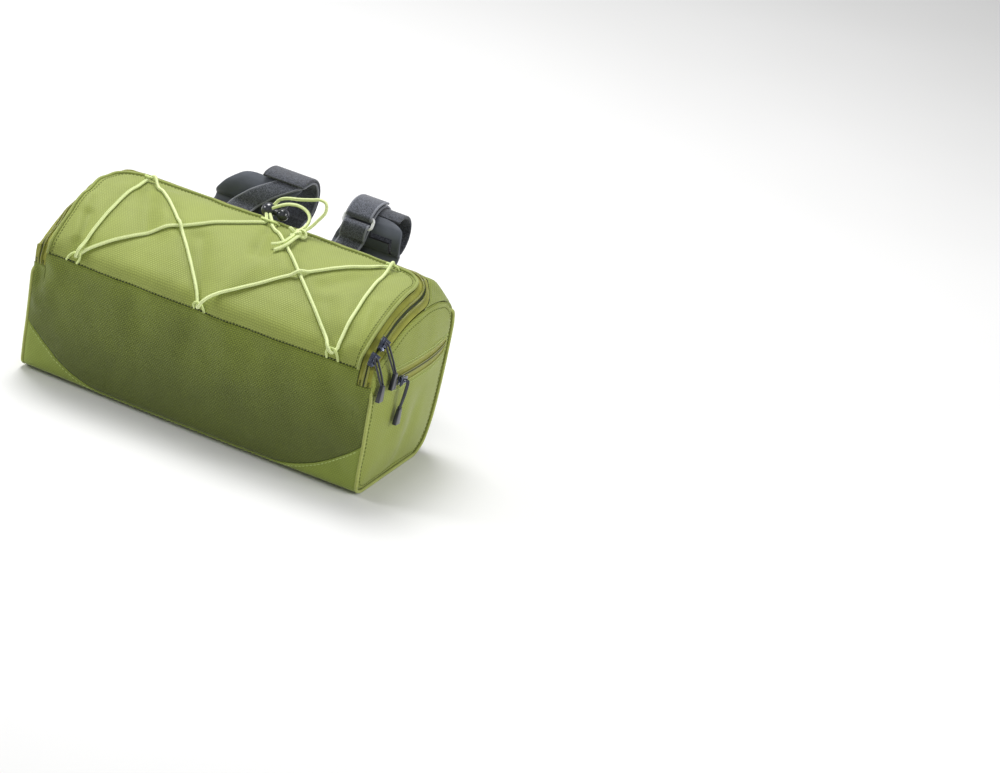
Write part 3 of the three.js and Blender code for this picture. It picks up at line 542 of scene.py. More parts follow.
@dataclass
class Sleeve:
    """The stuffed barrel: x runs across the bag and s along its outline from the front seam."""

    width: float = 311.0
    depth: float = 143.0
    height: float = 158.0
    front: float = -81.0
    fullness: float = 5.0
    shoulder_run: float = 18.0
    shoulder_drop: float = 14.85
    corner_inner: float = 70.0
    corner_rise: float = 41.0
    fold_gain: float = 2.1
    ripples: int = 22
    ripple_height: float = 0.13
    end_ripple: float = 0.34
    end_reach: float = 26.0
    pucker: float = 0.16

    def __post_init__(self) -> None:
        """Measures the outline."""
        knots = np.array([[self.front + y * self.depth, z * self.height] for _, y, z, _ in OUTLINE])
        full = np.array([f for *_, f in OUTLINE])
        line = spline(knots, KNOT_STEPS, closed=True)
        steps = np.linalg.norm(np.diff(line, axis=0), axis=1)
        self.marks = np.concatenate([[0.0], np.cumsum(steps)])
        self.girth = self.marks[-1]
        self.line = line
        slope = np.gradient(line, self.marks, axis=0)
        slope[0] = slope[-1] = (slope[0] + slope[-1]) / 2
        self.slope = slope / np.linalg.norm(slope, axis=1, keepdims=True)
        self.full = np.interp(np.linspace(0, len(OUTLINE), len(line)),
                              np.arange(len(OUTLINE) + 1), np.append(full, full[0]))
        self.half = self.width / 2
        rng = np.random.default_rng(11)
        self.waves = [(rng.uniform(13, 60), rng.uniform(0, math.pi), rng.uniform(0, 2 * math.pi))
                      for _ in range(self.ripples)]

    def reach(self, name: str) -> float:
        """Distance along the outline to a named point, negative on the front.

        Args:
            name: the point's name in OUTLINE.

        Returns:
            The distance in millimetres.
        """
        row = [label for label, *_ in OUTLINE].index(name)
        distance = self.marks[row * KNOT_STEPS]
        return distance - self.girth if name.startswith("front_") and row else distance

    def face(self, x: Array, s: Array) -> Array:
        """Points of the smooth outer face.

        Args:
            x: place across the bag, in millimetres.
            s: place along the outline, in millimetres.

        Returns:
            The points, in millimetres.
        """
        x, s = np.broadcast_arrays(np.asarray(x, float), np.asarray(s, float))
        at = np.mod(s, self.girth)
        y, z, ty, tz, full = (np.interp(at, self.marks, column) for column in
                              (*self.line.T, *self.slope.T, self.full))
        share = np.minimum(abs(x) / self.half, 1)
        bulge = self.fullness * full * (1 - share ** 3)
        t = np.clip((abs(x) - self.half + self.shoulder_run) / (self.shoulder_run + 4), 0, 1)
        edge = t ** 3 * (t * (6 * t - 15) + 10)
        drop = self.shoulder_drop * edge * np.maximum(ty, 0) ** 1.2
        return np.stack([x, y - tz * bulge, np.maximum(z + ty * bulge - drop, 0)], -1)

    def normal(self, x: Array, s: Array) -> Array:
        """Outward normals of the face.

        Args:
            x: place across the bag, in millimetres.
            s: place along the outline, in millimetres.

        Returns:
            The unit normals.
        """
        x, s = np.broadcast_arrays(np.asarray(x, float), np.asarray(s, float))
        inner = np.clip(x, -self.half + 0.5, self.half - 0.5)
        across = self.face(inner + 0.5, s) - self.face(inner - 0.5, s)
        along = self.face(inner, s + 0.5) - self.face(inner, s - 0.5)
        return unit(np.cross(across, along))

    def folds(self, x: Array, s: Array) -> Array:
        """Height of the cloth's creases and ripples, fading out where the bag rests.

        Args:
            x: place across the bag, in millimetres.
            s: place along the outline, in millimetres.

        Returns:
            The heights, in millimetres.
        """
        total = np.zeros(np.broadcast(x, s).shape)
        for x0, s0, x1, s1, wide, high in CREASES:
            way = np.array([x1 - x0, s1 - s0], float)
            t = np.clip(((x - x0) * way[0] + (s - s0) * way[1]) / (way @ way), 0, 1)
            gap = np.hypot(x - x0 - t * way[0], s - s0 - t * way[1])
            total = total + self.fold_gain * high * np.exp(-(gap / wide) ** 2)
        ripple = np.zeros_like(total)
        for wave, angle, phase in self.waves:
            run = x * math.cos(angle) + s * math.sin(angle)
            ripple += wave / 60 * np.sin(FULL_TURN * run / wave + phase)
        near_end = np.exp(-((self.half - abs(x)) / self.end_reach) ** 2)
        total = total + ripple * (self.ripple_height + self.end_ripple * near_end)
        pucker = np.sin(x * 0.95 + 2 * np.sin(x * 0.21)) * np.exp(-abs(s) / 5.0) * self.pucker
        height = self.face(x, s)[..., 2]
        rim = np.clip((self.half - abs(x)) / 6, 0, 1)
        return (total + pucker) * np.clip((height - 3) / 16, 0, 1) * rim

    def at(self, x: Array, s: Array, height: Array | float = 0.0) -> Array:
        """Points raised above the creased face.

        Args:
            x: place across the bag, in millimetres.
            s: place along the outline, in millimetres.
            height: height above the creased face.

        Returns:
            The points.
        """
        x, s = np.broadcast_arrays(np.asarray(x, float), np.asarray(s, float))
        lift = np.asarray(height) + self.folds(x, s)
        point = self.face(x, s) + self.normal(x, s) * lift[..., None]
        point[..., 2] = np.maximum(point[..., 2], 0)
        return point

    def front_low(self, x: Array) -> Array:
        """Where the base meets the front at x."""
        share = np.maximum(abs(x) - self.corner_inner, 0) / (self.half - self.corner_inner)
        return self.reach("front_corner") + self.corner_rise * share ** 2


def side_name(side: int) -> str:
    """The name of the bag's side at -X or +X."""
    return "left" if side < 0 else "right"


def unit(v: Array) -> Array:
    """Vectors made one long."""
    return v / np.maximum(np.linalg.norm(v, axis=-1, keepdims=True), 1e-9)


def spline(knots: Array, steps: int, closed: bool = False) -> Array:
    """A centripetal curve through knots.

    Args:
        knots: the points it passes.
        steps: pieces between two knots.
        closed: whether it returns to its start.

    Returns:
        The points along it.
    """
    knots = np.asarray(knots, float)
    ring = [knots[-1], *knots, knots[0], knots[1]] if closed else \
        [2 * knots[0] - knots[1], *knots, 2 * knots[-1] - knots[-2]]
    points = []
    t = np.linspace(0, 1, steps, endpoint=False)[:, None]
    for a, b, c, d in zip(ring, ring[1:], ring[2:], ring[3:]):
        p, q, r = (max(np.linalg.norm(v) ** 0.5, 1e-4) for v in (b - a, c - b, d - c))
        m0 = ((b - a) / p - (c - a) / (p + q) + (c - b) / q) * q
        m1 = ((c - b) / q - (d - b) / (q + r) + (d - c) / r) * q
        points.append(b + m0 * t + (3 * (c - b) - 2 * m0 - m1) * t ** 2 + (2 * (b - c) + m0 + m1) * t ** 3)
    return np.vstack([*points, (knots[0] if closed else knots[-1])[None]])


def spaced(points: Array, step: float) -> Array:
    """The same line with its points a step apart.

    Args:
        points: the line's points.
        step: distance between the new ones.

    Returns:
        The new points.
    """
    marks = np.concatenate([[0], np.cumsum(np.linalg.norm(np.diff(points, axis=0), axis=1))])
    wanted = np.linspace(0, marks[-1], max(int(round(marks[-1] / step)), 2) + 1)
    return np.stack([np.interp(wanted, marks, column) for column in points.T], -1)


# Meshes

@dataclass
class Shell:
    """Points in millimetres, faces, and a UV for each corner of each face in millimetres."""

    points: Array
    faces: list
    uvs: list

    def __add__(self, other: "Shell") -> "Shell":
        """Both shells as one.

        Args:
            other: the second shell.

        Returns:
            The joined shell.
        """
        shift = len(self.points)
        faces = self.faces + [[k + shift for k in face] for face in other.faces]
        points = np.vstack([self.points, other.points])
        return Shell(points, faces, self.uvs + other.uvs)


def lattice(points: Array, uv: Array, wrap: bool = False) -> Shell:
    """Faces over a grid of points. With wrap, each row closes and uv has one more column.

    Args:
        points: rows and columns of points.
        uv: a UV for each point.
        wrap: whether each row is a closed ring.

    Returns:
        The faces as a shell.
    """
    rows, cols = points.shape[:2]
    r, k = np.meshgrid(np.arange(rows - 1), np.arange(cols if wrap else cols - 1), indexing="ij")
    n = (k + 1) % cols
    faces = np.stack([r * cols + k, r * cols + n, (r + 1) * cols + n, (r + 1) * cols + k], -1)
    corners = np.stack([uv[:-1, :-1], uv[:-1, 1:], uv[1:, 1:], uv[1:, :-1]], 2)
    return Shell(points.reshape(-1, 3), faces.reshape(-1, 4).tolist(), list(corners.reshape(-1, 4, 2)))


def sweep(line: Array, side: Array, out: Array, section: Array, wide: Array | float = 1.0) -> Shell:
    """A closed solid of one section along a line.

    Args:
        line: centres in millimetres.
        side: unit vector across at each centre, or one for all.
        out: unit vector outwards at each centre.
        section: points of the section, across and out.
        wide: factor on the section's width at each centre.

    Returns:
        The solid with its two ends capped.
    """
    side = np.broadcast_to(side, line.shape)
    wide = np.broadcast_to(wide, len(line))
    points = (line[:, None] + side[:, None] * (section[None, :, :1] * wide[:, None, None])
              + out[:, None] * section[None, :, 1:])
    along = np.concatenate([[0], np.cumsum(np.linalg.norm(np.diff(line, axis=0), axis=1))])
    around = np.linalg.norm(np.diff(np.vstack([section, section[:1]]), axis=0), axis=1)
    around = np.concatenate([[0], np.cumsum(around)])
    uv = np.stack(np.broadcast_arrays(along[:, None], around[None]), -1)
    shell = lattice(points, uv, wrap=True)
    sides = len(section)
    last = (len(line) - 1) * sides
    shell.faces += [list(range(sides))[::-1], list(range(last, last + sides))]
    shell.uvs += [section[::-1], section]
    return shell


def tube(line: Array, radius: float, sides: int = 10) -> Shell:
    """A round cord along a line, its frame carried on without twist.

    Args:
        line: the cord's middle line.
        radius: its radius.
        sides: faces round it.

    Returns:
        The capped cord.
    """
    line = np.asarray(line, float)
    way = unit(np.gradient(line, axis=0))
    side = np.zeros_like(way)
    seed = np.cross(way[0], (0.31, 0.2, 0.93))
    for i, w in enumerate(way):
        seed = unit(seed - w * (seed @ w))
        side[i] = seed
    angle = np.linspace(0, FULL_TURN, sides, endpoint=False)
    section = radius * np.stack([np.cos(angle), np.sin(angle)], -1)
    return sweep(line, side, np.cross(way, side), section)


def strap_section(width: float, thick: float) -> Array:
    """The section of a strap: a flat bar with round edges.

    Args:
        width: width across.
        thick: thickness.

    Returns:
        The section's points, across and out.
    """
    angle = np.linspace(-math.pi / 2, math.pi / 2, 5)
    edge = np.stack([np.cos(angle), np.sin(angle)], -1) * thick / 2
    half = width / 2 - thick / 2
    run = np.linspace(half, -half, 9)[1:-1]
    right, left = edge + [half, 0], -edge - [half, 0]
    top = np.stack([run, np.full(7, thick / 2)], -1)
    return np.vstack([right, top, left, -top])


def strap(knots: Sequence, width: float | Array, thick: float, steps: int = 6) -> Shell:
    """A strap that lies across X along knots of y and z, each with its own middle x and width.

    Args:
        knots: points that its middle line passes.
        width: one width, or one at each knot.
        thick: its thickness.
        steps: pieces between two knots.

    Returns:
        The capped strap.
    """
    rows = np.column_stack([np.asarray(knots, float), np.broadcast_to(width, len(knots))])
    fine = spline(rows, steps)
    line, wide = fine[:, :3], fine[:, 3]
    way = np.gradient(line, axis=0)
    out = unit(np.cross(unit(way), (1.0, 0, 0)))
    section = strap_section(float(np.mean(wide)), thick)
    return sweep(line, np.array([1.0, 0, 0]), out, section, wide / np.mean(wide))


def stitches(line: Array, out: Array, pitch: float = 4.0, length: float = 2.7, radius: float = 0.38) -> Shell:
    """A row of sewn stitches along a line on the cloth.

    Args:
        line: the seam.
        out: the cloth's normal, or one at each point.
        pitch: distance between two stitches.
        length: length of a stitch.
        radius: the thread's radius.

    Returns:
        All stitches as one shell.
    """
    fine = np.column_stack([line, np.broadcast_to(out, line.shape)])
    marks = np.concatenate([[0], np.cumsum(np.linalg.norm(np.diff(line, axis=0), axis=1))])
    centres = np.arange(pitch / 2, marks[-1], pitch)
    start, end, mid = (np.stack([np.interp(centres + shift, marks, column) for column in fine.T], -1)
                       for shift in (-length / 2, length / 2, 0))
    way = unit(end[:, :3] - start[:, :3])
    normal = unit(mid[:, 3:])
    side = np.cross(way, normal)
    sides = 6
    angle = np.linspace(0, FULL_TURN, sides, endpoint=False)
    points, uvs, faces = [], [], []
    stations = ((-0.5, 0.35, -0.35), (-0.25, 1, 0), (0.25, 1, 0), (0.5, 0.35, -0.35))
    for along, size, sink in stations:
        for t in angle:
            points.append(mid[:, :3] + way * along * length
                          + side * (radius * size * math.cos(t))
                          + normal * (radius * (size * math.sin(t) + sink)))
            uvs.append((along * length, t * radius))
    block = np.stack(points, 1).reshape(-1, 3)
    corners = sides * len(stations)
    pairs = [(k, (k + 1) % sides) for k in range(sides)]
    face = [[low + a, low + b, low + sides + b, low + sides + a]
            for low in range(0, corners - sides, sides) for a, b in pairs]
    face += [list(range(sides))[::-1], list(range(corners - sides, corners))]
    one_uv = [np.array([uvs[k] for k in f]) for f in face]
    for i in range(len(centres)):
        faces += [[k + i * corners for k in f] for f in face]
    return Shell(block, faces, one_uv * len(centres))


def smooth(obj: bpy.types.Object, degrees: float = 40.0) -> None:
    """Shades an object smooth up to an angle.

    Args:
        obj: the object.
        degrees: the angle.
    """
    bpy.ops.object.select_all(action="DESELECT")
    obj.select_set(True)
    bpy.context.view_layer.objects.active = obj
    bpy.ops.object.shade_smooth_by_angle(angle=math.radians(degrees))


def make(name: str, shell: Shell, material: bpy.types.Material, *replaced: str,
         thick: float = 0.0, degrees: float = 50.0) -> bpy.types.Object:
    """Makes a shell a finished piece that rides on the bag.

    Args:
        name: the piece's name.
        shell: its shape.
        material: its finish.
        replaced: the CAD nodes that it stands for.
        thick: wall given to an open sheet, inwards, in millimetres.
        degrees: angle below which its edges are smooth.

    Returns:
        The new object.
    """
    mesh = bpy.data.meshes.new(name)
    mesh.from_pydata((shell.points * MM).tolist(), [], shell.faces)
    layer = mesh.uv_layers.new(name="UVMap")
    layer.data.foreach_set("uv", (np.vstack(shell.uvs) / UV_SCALE).ravel())
    mesh.materials.append(material)
    obj = bpy.data.objects.new(name, mesh)
    bpy.context.collection.objects.link(obj)
    bpy.ops.object.select_all(action="DESELECT")
    obj.select_set(True)
    bpy.context.view_layer.objects.active = obj
    if thick:
        wall = obj.modifiers.new("wall", "SOLIDIFY")
        wall.thickness = thick * MM
        wall.offset = -1
        bpy.ops.object.modifier_apply(modifier="wall")
    else:
        bpy.ops.object.mode_set(mode="EDIT")
        bpy.ops.mesh.select_all(action="SELECT")
        bpy.ops.mesh.normals_make_consistent(inside=False)
        bpy.ops.object.mode_set(mode="OBJECT")
    return dress(obj, *replaced, degrees=degrees)


def dress(obj: bpy.types.Object, *replaced: str, degrees: float = 40.0) -> bpy.types.Object:
    """Smooths a piece, hides the CAD nodes that it stands for and sets it riding on the bag.

    Args:
        obj: the piece.
        degrees: angle below which its edges are smooth.
        replaced: the CAD nodes that it stands for.

    Returns:
        The same piece.
    """
    smooth(obj, degrees)
    if replaced:
        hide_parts(*replaced)
    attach(obj, "root")
    log.info("%s: %d faces", obj.name, len(obj.data.polygons))
    return obj


# Cloth panels, zips and piping

@dataclass
class Body:
    """The lid, its zip, the front, the base and the back."""

    sleeve: Sleeve
    palette: Palette
    tape: float = 11.5
    corner: float = 28.0
    foot: float = 12.0
    wall: float = 1.7
    turn_in: float = 1.6

    def __post_init__(self) -> None:
        """Works out the lid's size."""
        self.lid_half = self.sleeve.half - self.tape - GAP
        self.lid_end = self.sleeve.reach("lid_back")

    def round_lid(self, offset: float, low: float, step: float = 2.0) -> Array:
        """Points x, s round the lid at a distance outside its edge, from left to right.

        Args:
            offset: the distance.
            low: where the line starts and ends on the front.
            step: distance between its points.

        Returns:
            The points x, s.
        """
        radius = self.corner + offset
        angle = np.linspace(0, math.pi / 2, 26)
        straight = [[self.lid_half + offset, low], [self.lid_half + offset, self.lid_end - self.corner]]
        arc = np.stack([self.lid_half - self.corner + radius * np.cos(angle),
                        self.lid_end - self.corner + radius * np.sin(angle)], -1)
        right = spaced(np.vstack([straight, arc[1:], [[0, self.lid_end + offset]]]), step)
        return np.vstack([right * [-1, 1], right[::-1][1:]])

    def panel(self, name: str, x: Array, s: Array, finish: str, node: str) -> None:
        """A cloth panel over grids of x and s, its edges turned in at the seams.

        Args:
            name: the piece's name.
            x: place across the bag, in millimetres.
            s: place along the outline, in millimetres.
            finish: its finish.
            node: the CAD node that it stands for.
        """
        across = np.minimum(abs(x - x[:, :1]), abs(x - x[:, -1:]))
        along = np.minimum(abs(s - s[:1]), abs(s - s[-1:]))
        edge = np.clip(1 - np.minimum(across, along) / self.turn_in, 0, 1)
        points = self.sleeve.at(x, s, -0.75 * edge ** 2)
        make(name, lattice(points, np.stack([x, s], -1)), self.palette.get(finish), node, thick=self.wall)

    def build_lid(self) -> None:
        """The lid with its rolled edge, and the row of stitches along the front seam."""
        rows, columns = 56, 176
        angle = np.linspace(0, math.pi / 2 * 0.985, 26)[1:]
        turn = self.lid_end - self.corner
        s = np.concatenate([np.linspace(GAP / 2, turn, rows), turn + (self.corner - GAP) * np.sin(angle)])
        round_half = self.lid_half - self.corner + self.corner * np.cos(angle)
        half = np.concatenate([np.full(rows, self.lid_half), round_half]) - GAP
        u = np.linspace(-1, 1, columns)
        u = np.sign(u) * (1 - (1 - abs(u)) ** 1.12)
        s = np.repeat(s[:, None], columns, 1)
        self.panel("lid_panel_cloth", half[:, None] * u, s, "lid", "lid_panel")
        edge = self.round_lid(-1.2, GAP, 1.6)
        make("lid_binding_roll", tube(self.sleeve.at(*edge.T, 0.8), 1.35, 10), self.palette.get("binding"),
             "lid_binding")
        row = self.round_lid(-4.6, 1.5, 1.6)
        self.sew("lid_edge_stitches", row, "soft_thread")
        x = np.linspace(-self.lid_half + 2, self.lid_half - 2, 200)
        self.sew("front_seam_stitches", np.stack([x, np.full(200, 0.8)], -1), "green_thread", 2.8)

    def sew(self, name: str, row: Array, thread: str, pitch: float = 3.2) -> None:
        """A row of stitches at points x, s.

        Args:
            name: the piece's name.
            row: the points.
            thread: its finish.
            pitch: distance between two stitches.
        """
        x, s = row.T
        line, out = self.sleeve.at(x, s, 0.12), self.sleeve.normal(x, s)
        make(name, stitches(line, out, pitch, pitch * 0.7, 0.34), self.palette.get(thread))

    def band(self, name: str, inner: float, outer: float, rise: float, thick: float, finish: str, node: str,
             rows: int = 5) -> None:
        """A strip round the lid between two distances from its edge.

        Args:
            name: the piece's name.
            inner: the nearer distance.
            outer: the farther one.
            rise: its height above the cloth.
            thick: its wall.
            finish: its finish.
            node: the CAD node that it stands for, if any.
            rows: lines of points across it.
        """
        lines = [self.round_lid(t, -self.foot + 0.2) for t in np.linspace(inner, outer, rows)]
        count = min(len(line) for line in lines)
        lines = [line[np.linspace(0, len(line) - 1, count).round().astype(int)] for line in lines]
        x, s = np.stack(lines).transpose(2, 0, 1)
        bow = rise + 0.25 * (1 - np.linspace(-1, 1, rows) ** 2)[:, None]
        along = np.concatenate([[0], np.cumsum(np.hypot(np.diff(x[0]), np.diff(s[0])))])
        uv = np.stack(np.broadcast_arrays(along[None], np.linspace(inner, outer, rows)[:, None]), -1)
        shell = lattice(self.sleeve.at(x, s, bow), uv)
        make(name, shell, self.palette.get(finish), *([node] if node else []), thick=thick)

    def build_zip(self) -> None:
        """The zip round the lid: tape, a near-black strip of painted shade along its gap, the two ribbed coil
        covers and their stitches.
        """
        middle = self.tape / 2
        self.band("main_zip_tape_weave", GAP, self.tape - GAP, -0.6, 1.0, "tape", "main_zip_tape")
        # painted shade: a near-black strip laid where the gap between the tape faces shows only shade
        self.band("main_zip_gap_painted_shade", middle - 0.55, middle + 0.55, 0.15, 0.6, "gap", "", 2)
        coils = []
        for offset in (middle - 1.35, middle + 1.35):
            line = self.round_lid(offset, -self.foot + 0.6, 1.5)
            coils.append(tube(self.sleeve.at(*line.T, 0.35), 0.85, 8))
        make("main_zip_coil_covers", coils[0] + coils[1], self.palette.get("coil"), "main_zip_coil")
        for side in (-1, 1):
            left, right = (side * (self.lid_half + d) for d in (1.0, self.tape - 1.0))
            for k, s in enumerate((1.2, 2.6, 4.0)):
                row = np.array([[x, s - self.foot] for x in (left, (left + right) / 2, right)])
                self.sew(f"zip_end_tack_{side_name(side)}_{k + 1}", row, "green_thread", 2.4)

    def build_sleeve(self) -> None:
        """The front, base and back panels, and the stitches of the corner seams."""
        half = self.sleeve.half
        notch, close = self.lid_half - GAP, 0.02
        corners = [-notch - close, -notch + close, notch - close, notch + close]
        x = np.sort(np.append(np.linspace(-half, half, 184), corners))
        top = np.where(abs(x) > notch, -self.foot - GAP, -GAP / 2)
        low = self.sleeve.front_low(x)
        v = np.linspace(0, 1, 64)[:, None]
        wide = np.repeat(x[None], 64, 0)
        rows = low + GAP / 2 + (top - low - GAP / 2) * v
        self.panel("front_panel_cloth", wide, rows, "front", "front_panel")
        start = self.sleeve.reach("back_corner") - self.sleeve.girth
        turn = self.sleeve.reach("front_corner") - 3
        flat = np.linspace(start + GAP / 2, turn, 56)[:, None] + 0 * x
        rise = turn + (low - GAP - turn) * np.linspace(0, 1, 24)[1:, None]
        rows = np.vstack([flat, rise])
        self.panel("bottom_panel_cloth", np.repeat(x[None], len(rows), 0), rows, "base", "bottom_panel")
        radius = self.corner + self.tape
        past = np.maximum(abs(x) - (self.lid_half - self.corner), 0)
        high = self.lid_end - self.corner + np.sqrt(np.maximum(radius ** 2 - past ** 2, 0)) + GAP * 4
        end = self.sleeve.reach("back_corner") - GAP / 2
        rows = high + (end - high) * np.linspace(0, 1, 84)[:, None]
        self.panel("back_panel_cloth", np.repeat(x[None], 84, 0), rows, "back", "back_panel")
        rows = {f"corner_stitches_{side_name(side)}": side * np.linspace(66, half - 4, 60)
                for side in (-1, 1)}
        rows["base_edge_stitches"] = np.linspace(-66, 66, 80)
        for name, xs in rows.items():
            self.sew(name, np.stack([xs, self.sleeve.front_low(xs) - 2.4], -1), "pale_thread", 3.6)
        xs = np.linspace(-half + 4, half - 4, 180)
        row = np.stack([xs, np.full(180, self.sleeve.reach("shoulder"))], -1)
        self.sew("back_shoulder_stitches", row, "green_thread", 3.6)

    def build(self) -> None:
        """Makes every panel."""
        self.build_lid()
        self.build_zip()
        self.build_sleeve()


@dataclass
class Ends:
    """The two cloth ends, their piping and the zip pocket of the right one."""

    sleeve: Sleeve
    palette: Palette
    bulge: float = 8.0
    clear: float = 2.0
    level: float = 97.0
    slot_front: float = -45.5
    slot_back: float = 47.5
    slot_half: float = 6.5
    even: int = 4
    columns: int = 230

    def rim(self, count: int, inset: float) -> Array:
        """The end's outline in y and z, inside the sleeve's wall, evened out where the shoulder folds.

        Args:
            count: how many points.
            inset: distance inside the sleeve's face.

        Returns:
            The points y, z.
        """
        s = np.linspace(0, self.sleeve.girth, 1200, endpoint=False)
        line = self.sleeve.face(self.sleeve.half, s)[:, 1:]
        middle = line.mean(0)
        bearing = np.arctan2(*(line - middle).T[::-1])
        angle = np.linspace(math.pi, -math.pi, 720, endpoint=False)
        size = np.interp(angle, bearing, np.linalg.norm(line - middle, axis=1), period=FULL_TURN)
        near = range(-self.even, self.even + 1)
        size = sum(np.roll(size, k) for k in near) / len(near) - inset * 1.06
        loop = middle + np.stack([np.cos(angle), np.sin(angle)], -1) * size[:, None]
        loop = np.vstack([loop, loop[:1]])
        run = np.concatenate([[0], np.cumsum(np.linalg.norm(np.diff(loop, axis=0), axis=1))])
        at = np.linspace(0, run[-1], count, endpoint=False)
        return np.stack([np.interp(at, run, column) for column in loop.T], -1)

    def relief(self, side: int, y: Array, z: Array) -> Array:
        """Height of the end's soft dents, and of the pocket's slot on the right.

        Args:
            side: -1 for the left end, 1 for the right.
            y: place from front to back.
            z: height.

        Returns:
            The heights of the relief.
        """
        dents = 2.2 * np.exp(-((y + 22) / 13) ** 2) - 2.6 * np.exp(-((y - 4 - (z - 50) * 0.12) / 11) ** 2)
        dents = dents * np.clip((self.level - 12 - z) / 30, 0, 1) * np.clip(z / 30, 0, 1)
        dents = dents + 0.35 * np.sin(y / 7.3 + z / 11) * np.sin(z / 8.1 - y / 17)
        if side < 0:
            return dents
        gap = np.hypot(y - np.clip(y, self.slot_front, self.slot_back), z - self.level)
        return dents * np.clip(gap / 9 - 0.5, 0, 1) - 1.1 * np.clip((self.slot_half + 1 - gap) / 1.2, 0, 1)

    def surface(self, side: int, y: Array, z: Array, height: float = 0.0) -> Array:
        """Points of an end's outer face.

        Args:
            side: -1 for the left end, 1 for the right.
            y: place from front to back.
            z: height.
            height: distance above the cloth.

        Returns:
            The points.
        """
        rim = self.rim(240, self.clear)
        middle = rim.mean(0)
        bearing = np.arctan2(*(rim - middle).T[::-1])
        order = np.argsort(bearing)
        size = np.linalg.norm(rim - middle, axis=1)[order]
        angle = np.arctan2(z - middle[1], y - middle[0])
        reach = np.interp(angle, bearing[order], size, period=FULL_TURN)
        share = np.hypot(y - middle[0], z - middle[1]) / reach
        dents = self.relief(side, y, z) * (share < 0.97)
        x = self.sleeve.half + self.bulge * (1 - share ** 2) + dents + height
        return np.stack([side * x, y, z], -1)

    def build_panel(self, side: int) -> None:
        """One end's cloth, domed and turned in at its rim.

        Args:
            side: -1 for the left end, 1 for the right.
        """
        name = side_name(side)
        rim = self.rim(self.columns, self.clear)
        middle = rim.mean(0)
        share = np.concatenate([np.linspace(0.004, 0.985, 58), [1.0]])[:, None, None]
        flat = middle + (rim - middle)[None] * share
        points = self.surface(side, flat[..., 0], flat[..., 1])
        points[-1, :, 0] -= side * 1.2
        flat = np.concatenate([flat, flat[:, :1]], 1)
        shell = lattice(points, flat, wrap=True)
        shell.faces.append(list(range(self.columns))[::-1])
        shell.uvs.append(flat[0, :-1][::-1])
        if side < 0:
            shell.faces = [face[::-1] for face in shell.faces]
            shell.uvs = [uv[::-1] for uv in shell.uvs]
        make(f"end_panel_{name}_cloth", shell, self.palette.get("end"), f"end_panel_{name}", thick=1.6)
        self.build_piping(side)
        rim = self.rim(300, self.clear + 4.4)
        loop = np.vstack([rim, rim[:1]])
        row = self.surface(side, loop[:, 0], loop[:, 1], 0.15)
        make(f"end_stitches_{name}", stitches(row, np.array([side, 0.0, 0.0]), 3.4, 2.3, 0.36),
             self.palette.get("soft_thread"))

    def build_piping(self, side: int) -> None:
        """The corded edge of one end, its two ends sunk into the seam.

        Args:
            side: -1 for the left end, 1 for the right.
        """
        s = np.linspace(self.sleeve.reach("shoulder"), self.sleeve.girth - 12, 210)
        half = self.sleeve.half
        line = self.sleeve.face(half, s) - self.sleeve.normal(half, s)
        line[:, 0] = side * (half + 0.9)
        line[:, 2] = np.maximum(line[:, 2], 1.4)
        away = np.minimum(s - s[0], s[-1] - s)
        sunk = np.exp(-(away / 6) ** 2)
        line -= unit(line - line.mean(0)) * 2.2 * sunk[:, None]
        line[:, 0] -= side * 2.8 * sunk
        node = f"end_piping_{side_name(side)}"
        make(f"{node}_cord", tube(line, 1.4, 10), self.palette.get("piping"), node)

    def strip(self, name: str, low: float, high: float, rise: float, finish: str, *nodes: str) -> None:
        """A strip along the pocket zip between two heights from its middle.

        Args:
            name: the piece's name.
            low: the lower height.
            high: the upper one.
            rise: distance above the cloth.
            finish: its finish.
            nodes: the CAD nodes that it stands for.
        """
        y = np.linspace(self.slot_front - 5, self.slot_back + 5, 90)
        z = self.level + np.linspace(low, high, 5)
        yy, zz = np.meshgrid(y, z)
        points = self.surface(1, yy, zz, rise)
        points[..., 0] += 1.1
        make(name, lattice(points, np.stack([yy, zz], -1)), self.palette.get(finish), *nodes, thick=0.8)

    def build_pocket(self) -> None:
        """The pocket's zip: two tape faces that meet at a near-black strip of painted shade, ribbed covers
        and two stitched folds.
        """
        self.strip("pocket_zip_tape_weave", -6.2, 6.2, -0.7, "tape", "pocket_zip_tape")
        # painted shade: a near-black strip laid in the pocket zip's gap, where only shade shows
        self.strip("pocket_zip_gap_painted_shade", -0.5, 0.5, -0.1, "gap")
        y = np.linspace(self.slot_front - 4, self.slot_back + 4, 80)
        covers = [tube(self.surface(1, y, np.full(80, self.level + rise), 0.75), 0.7, 8)
                  for rise in (-1.15, 1.15)]
        make("pocket_zip_covers", covers[0] + covers[1], self.palette.get("coil"), "pocket_zip_coil")
        make("pocket_fold", tube(self.slot_loop(6.6, 0.4), 0.75, 8), self.palette.get("piping"))
        row = stitches(self.slot_loop(9.6, 0.2), np.array([1.0, 0, 0]), 3.2, 2.2, 0.36)
        make("pocket_stitches", row, self.palette.get("pale_thread"))

    def slot_loop(self, radius: float, rise: float) -> Array:
        """A line round the pocket's slot.

        Args:
            radius: its distance from the slot's middle line.
            rise: its distance above the cloth.

        Returns:
            The points.
        """
        angle = np.linspace(math.pi / 2, 1.5 * math.pi, 16)
        front = radius * np.stack([np.cos(angle), np.sin(angle)], -1) + [self.slot_front, self.level]
        back = front[::-1] * [-1, 1] + [self.slot_front + self.slot_back, 0]
        loop = spaced(np.vstack([front, back, front[:1]]), 1.5)
        return self.surface(1, loop[:, 0], loop[:, 1], rise)

    def build(self) -> None:
        """Makes both ends and the pocket."""
        for side in (-1, 1):
            self.build_panel(side)
        self.build_pocket()


# Hard pieces, made on the bench and then set in place

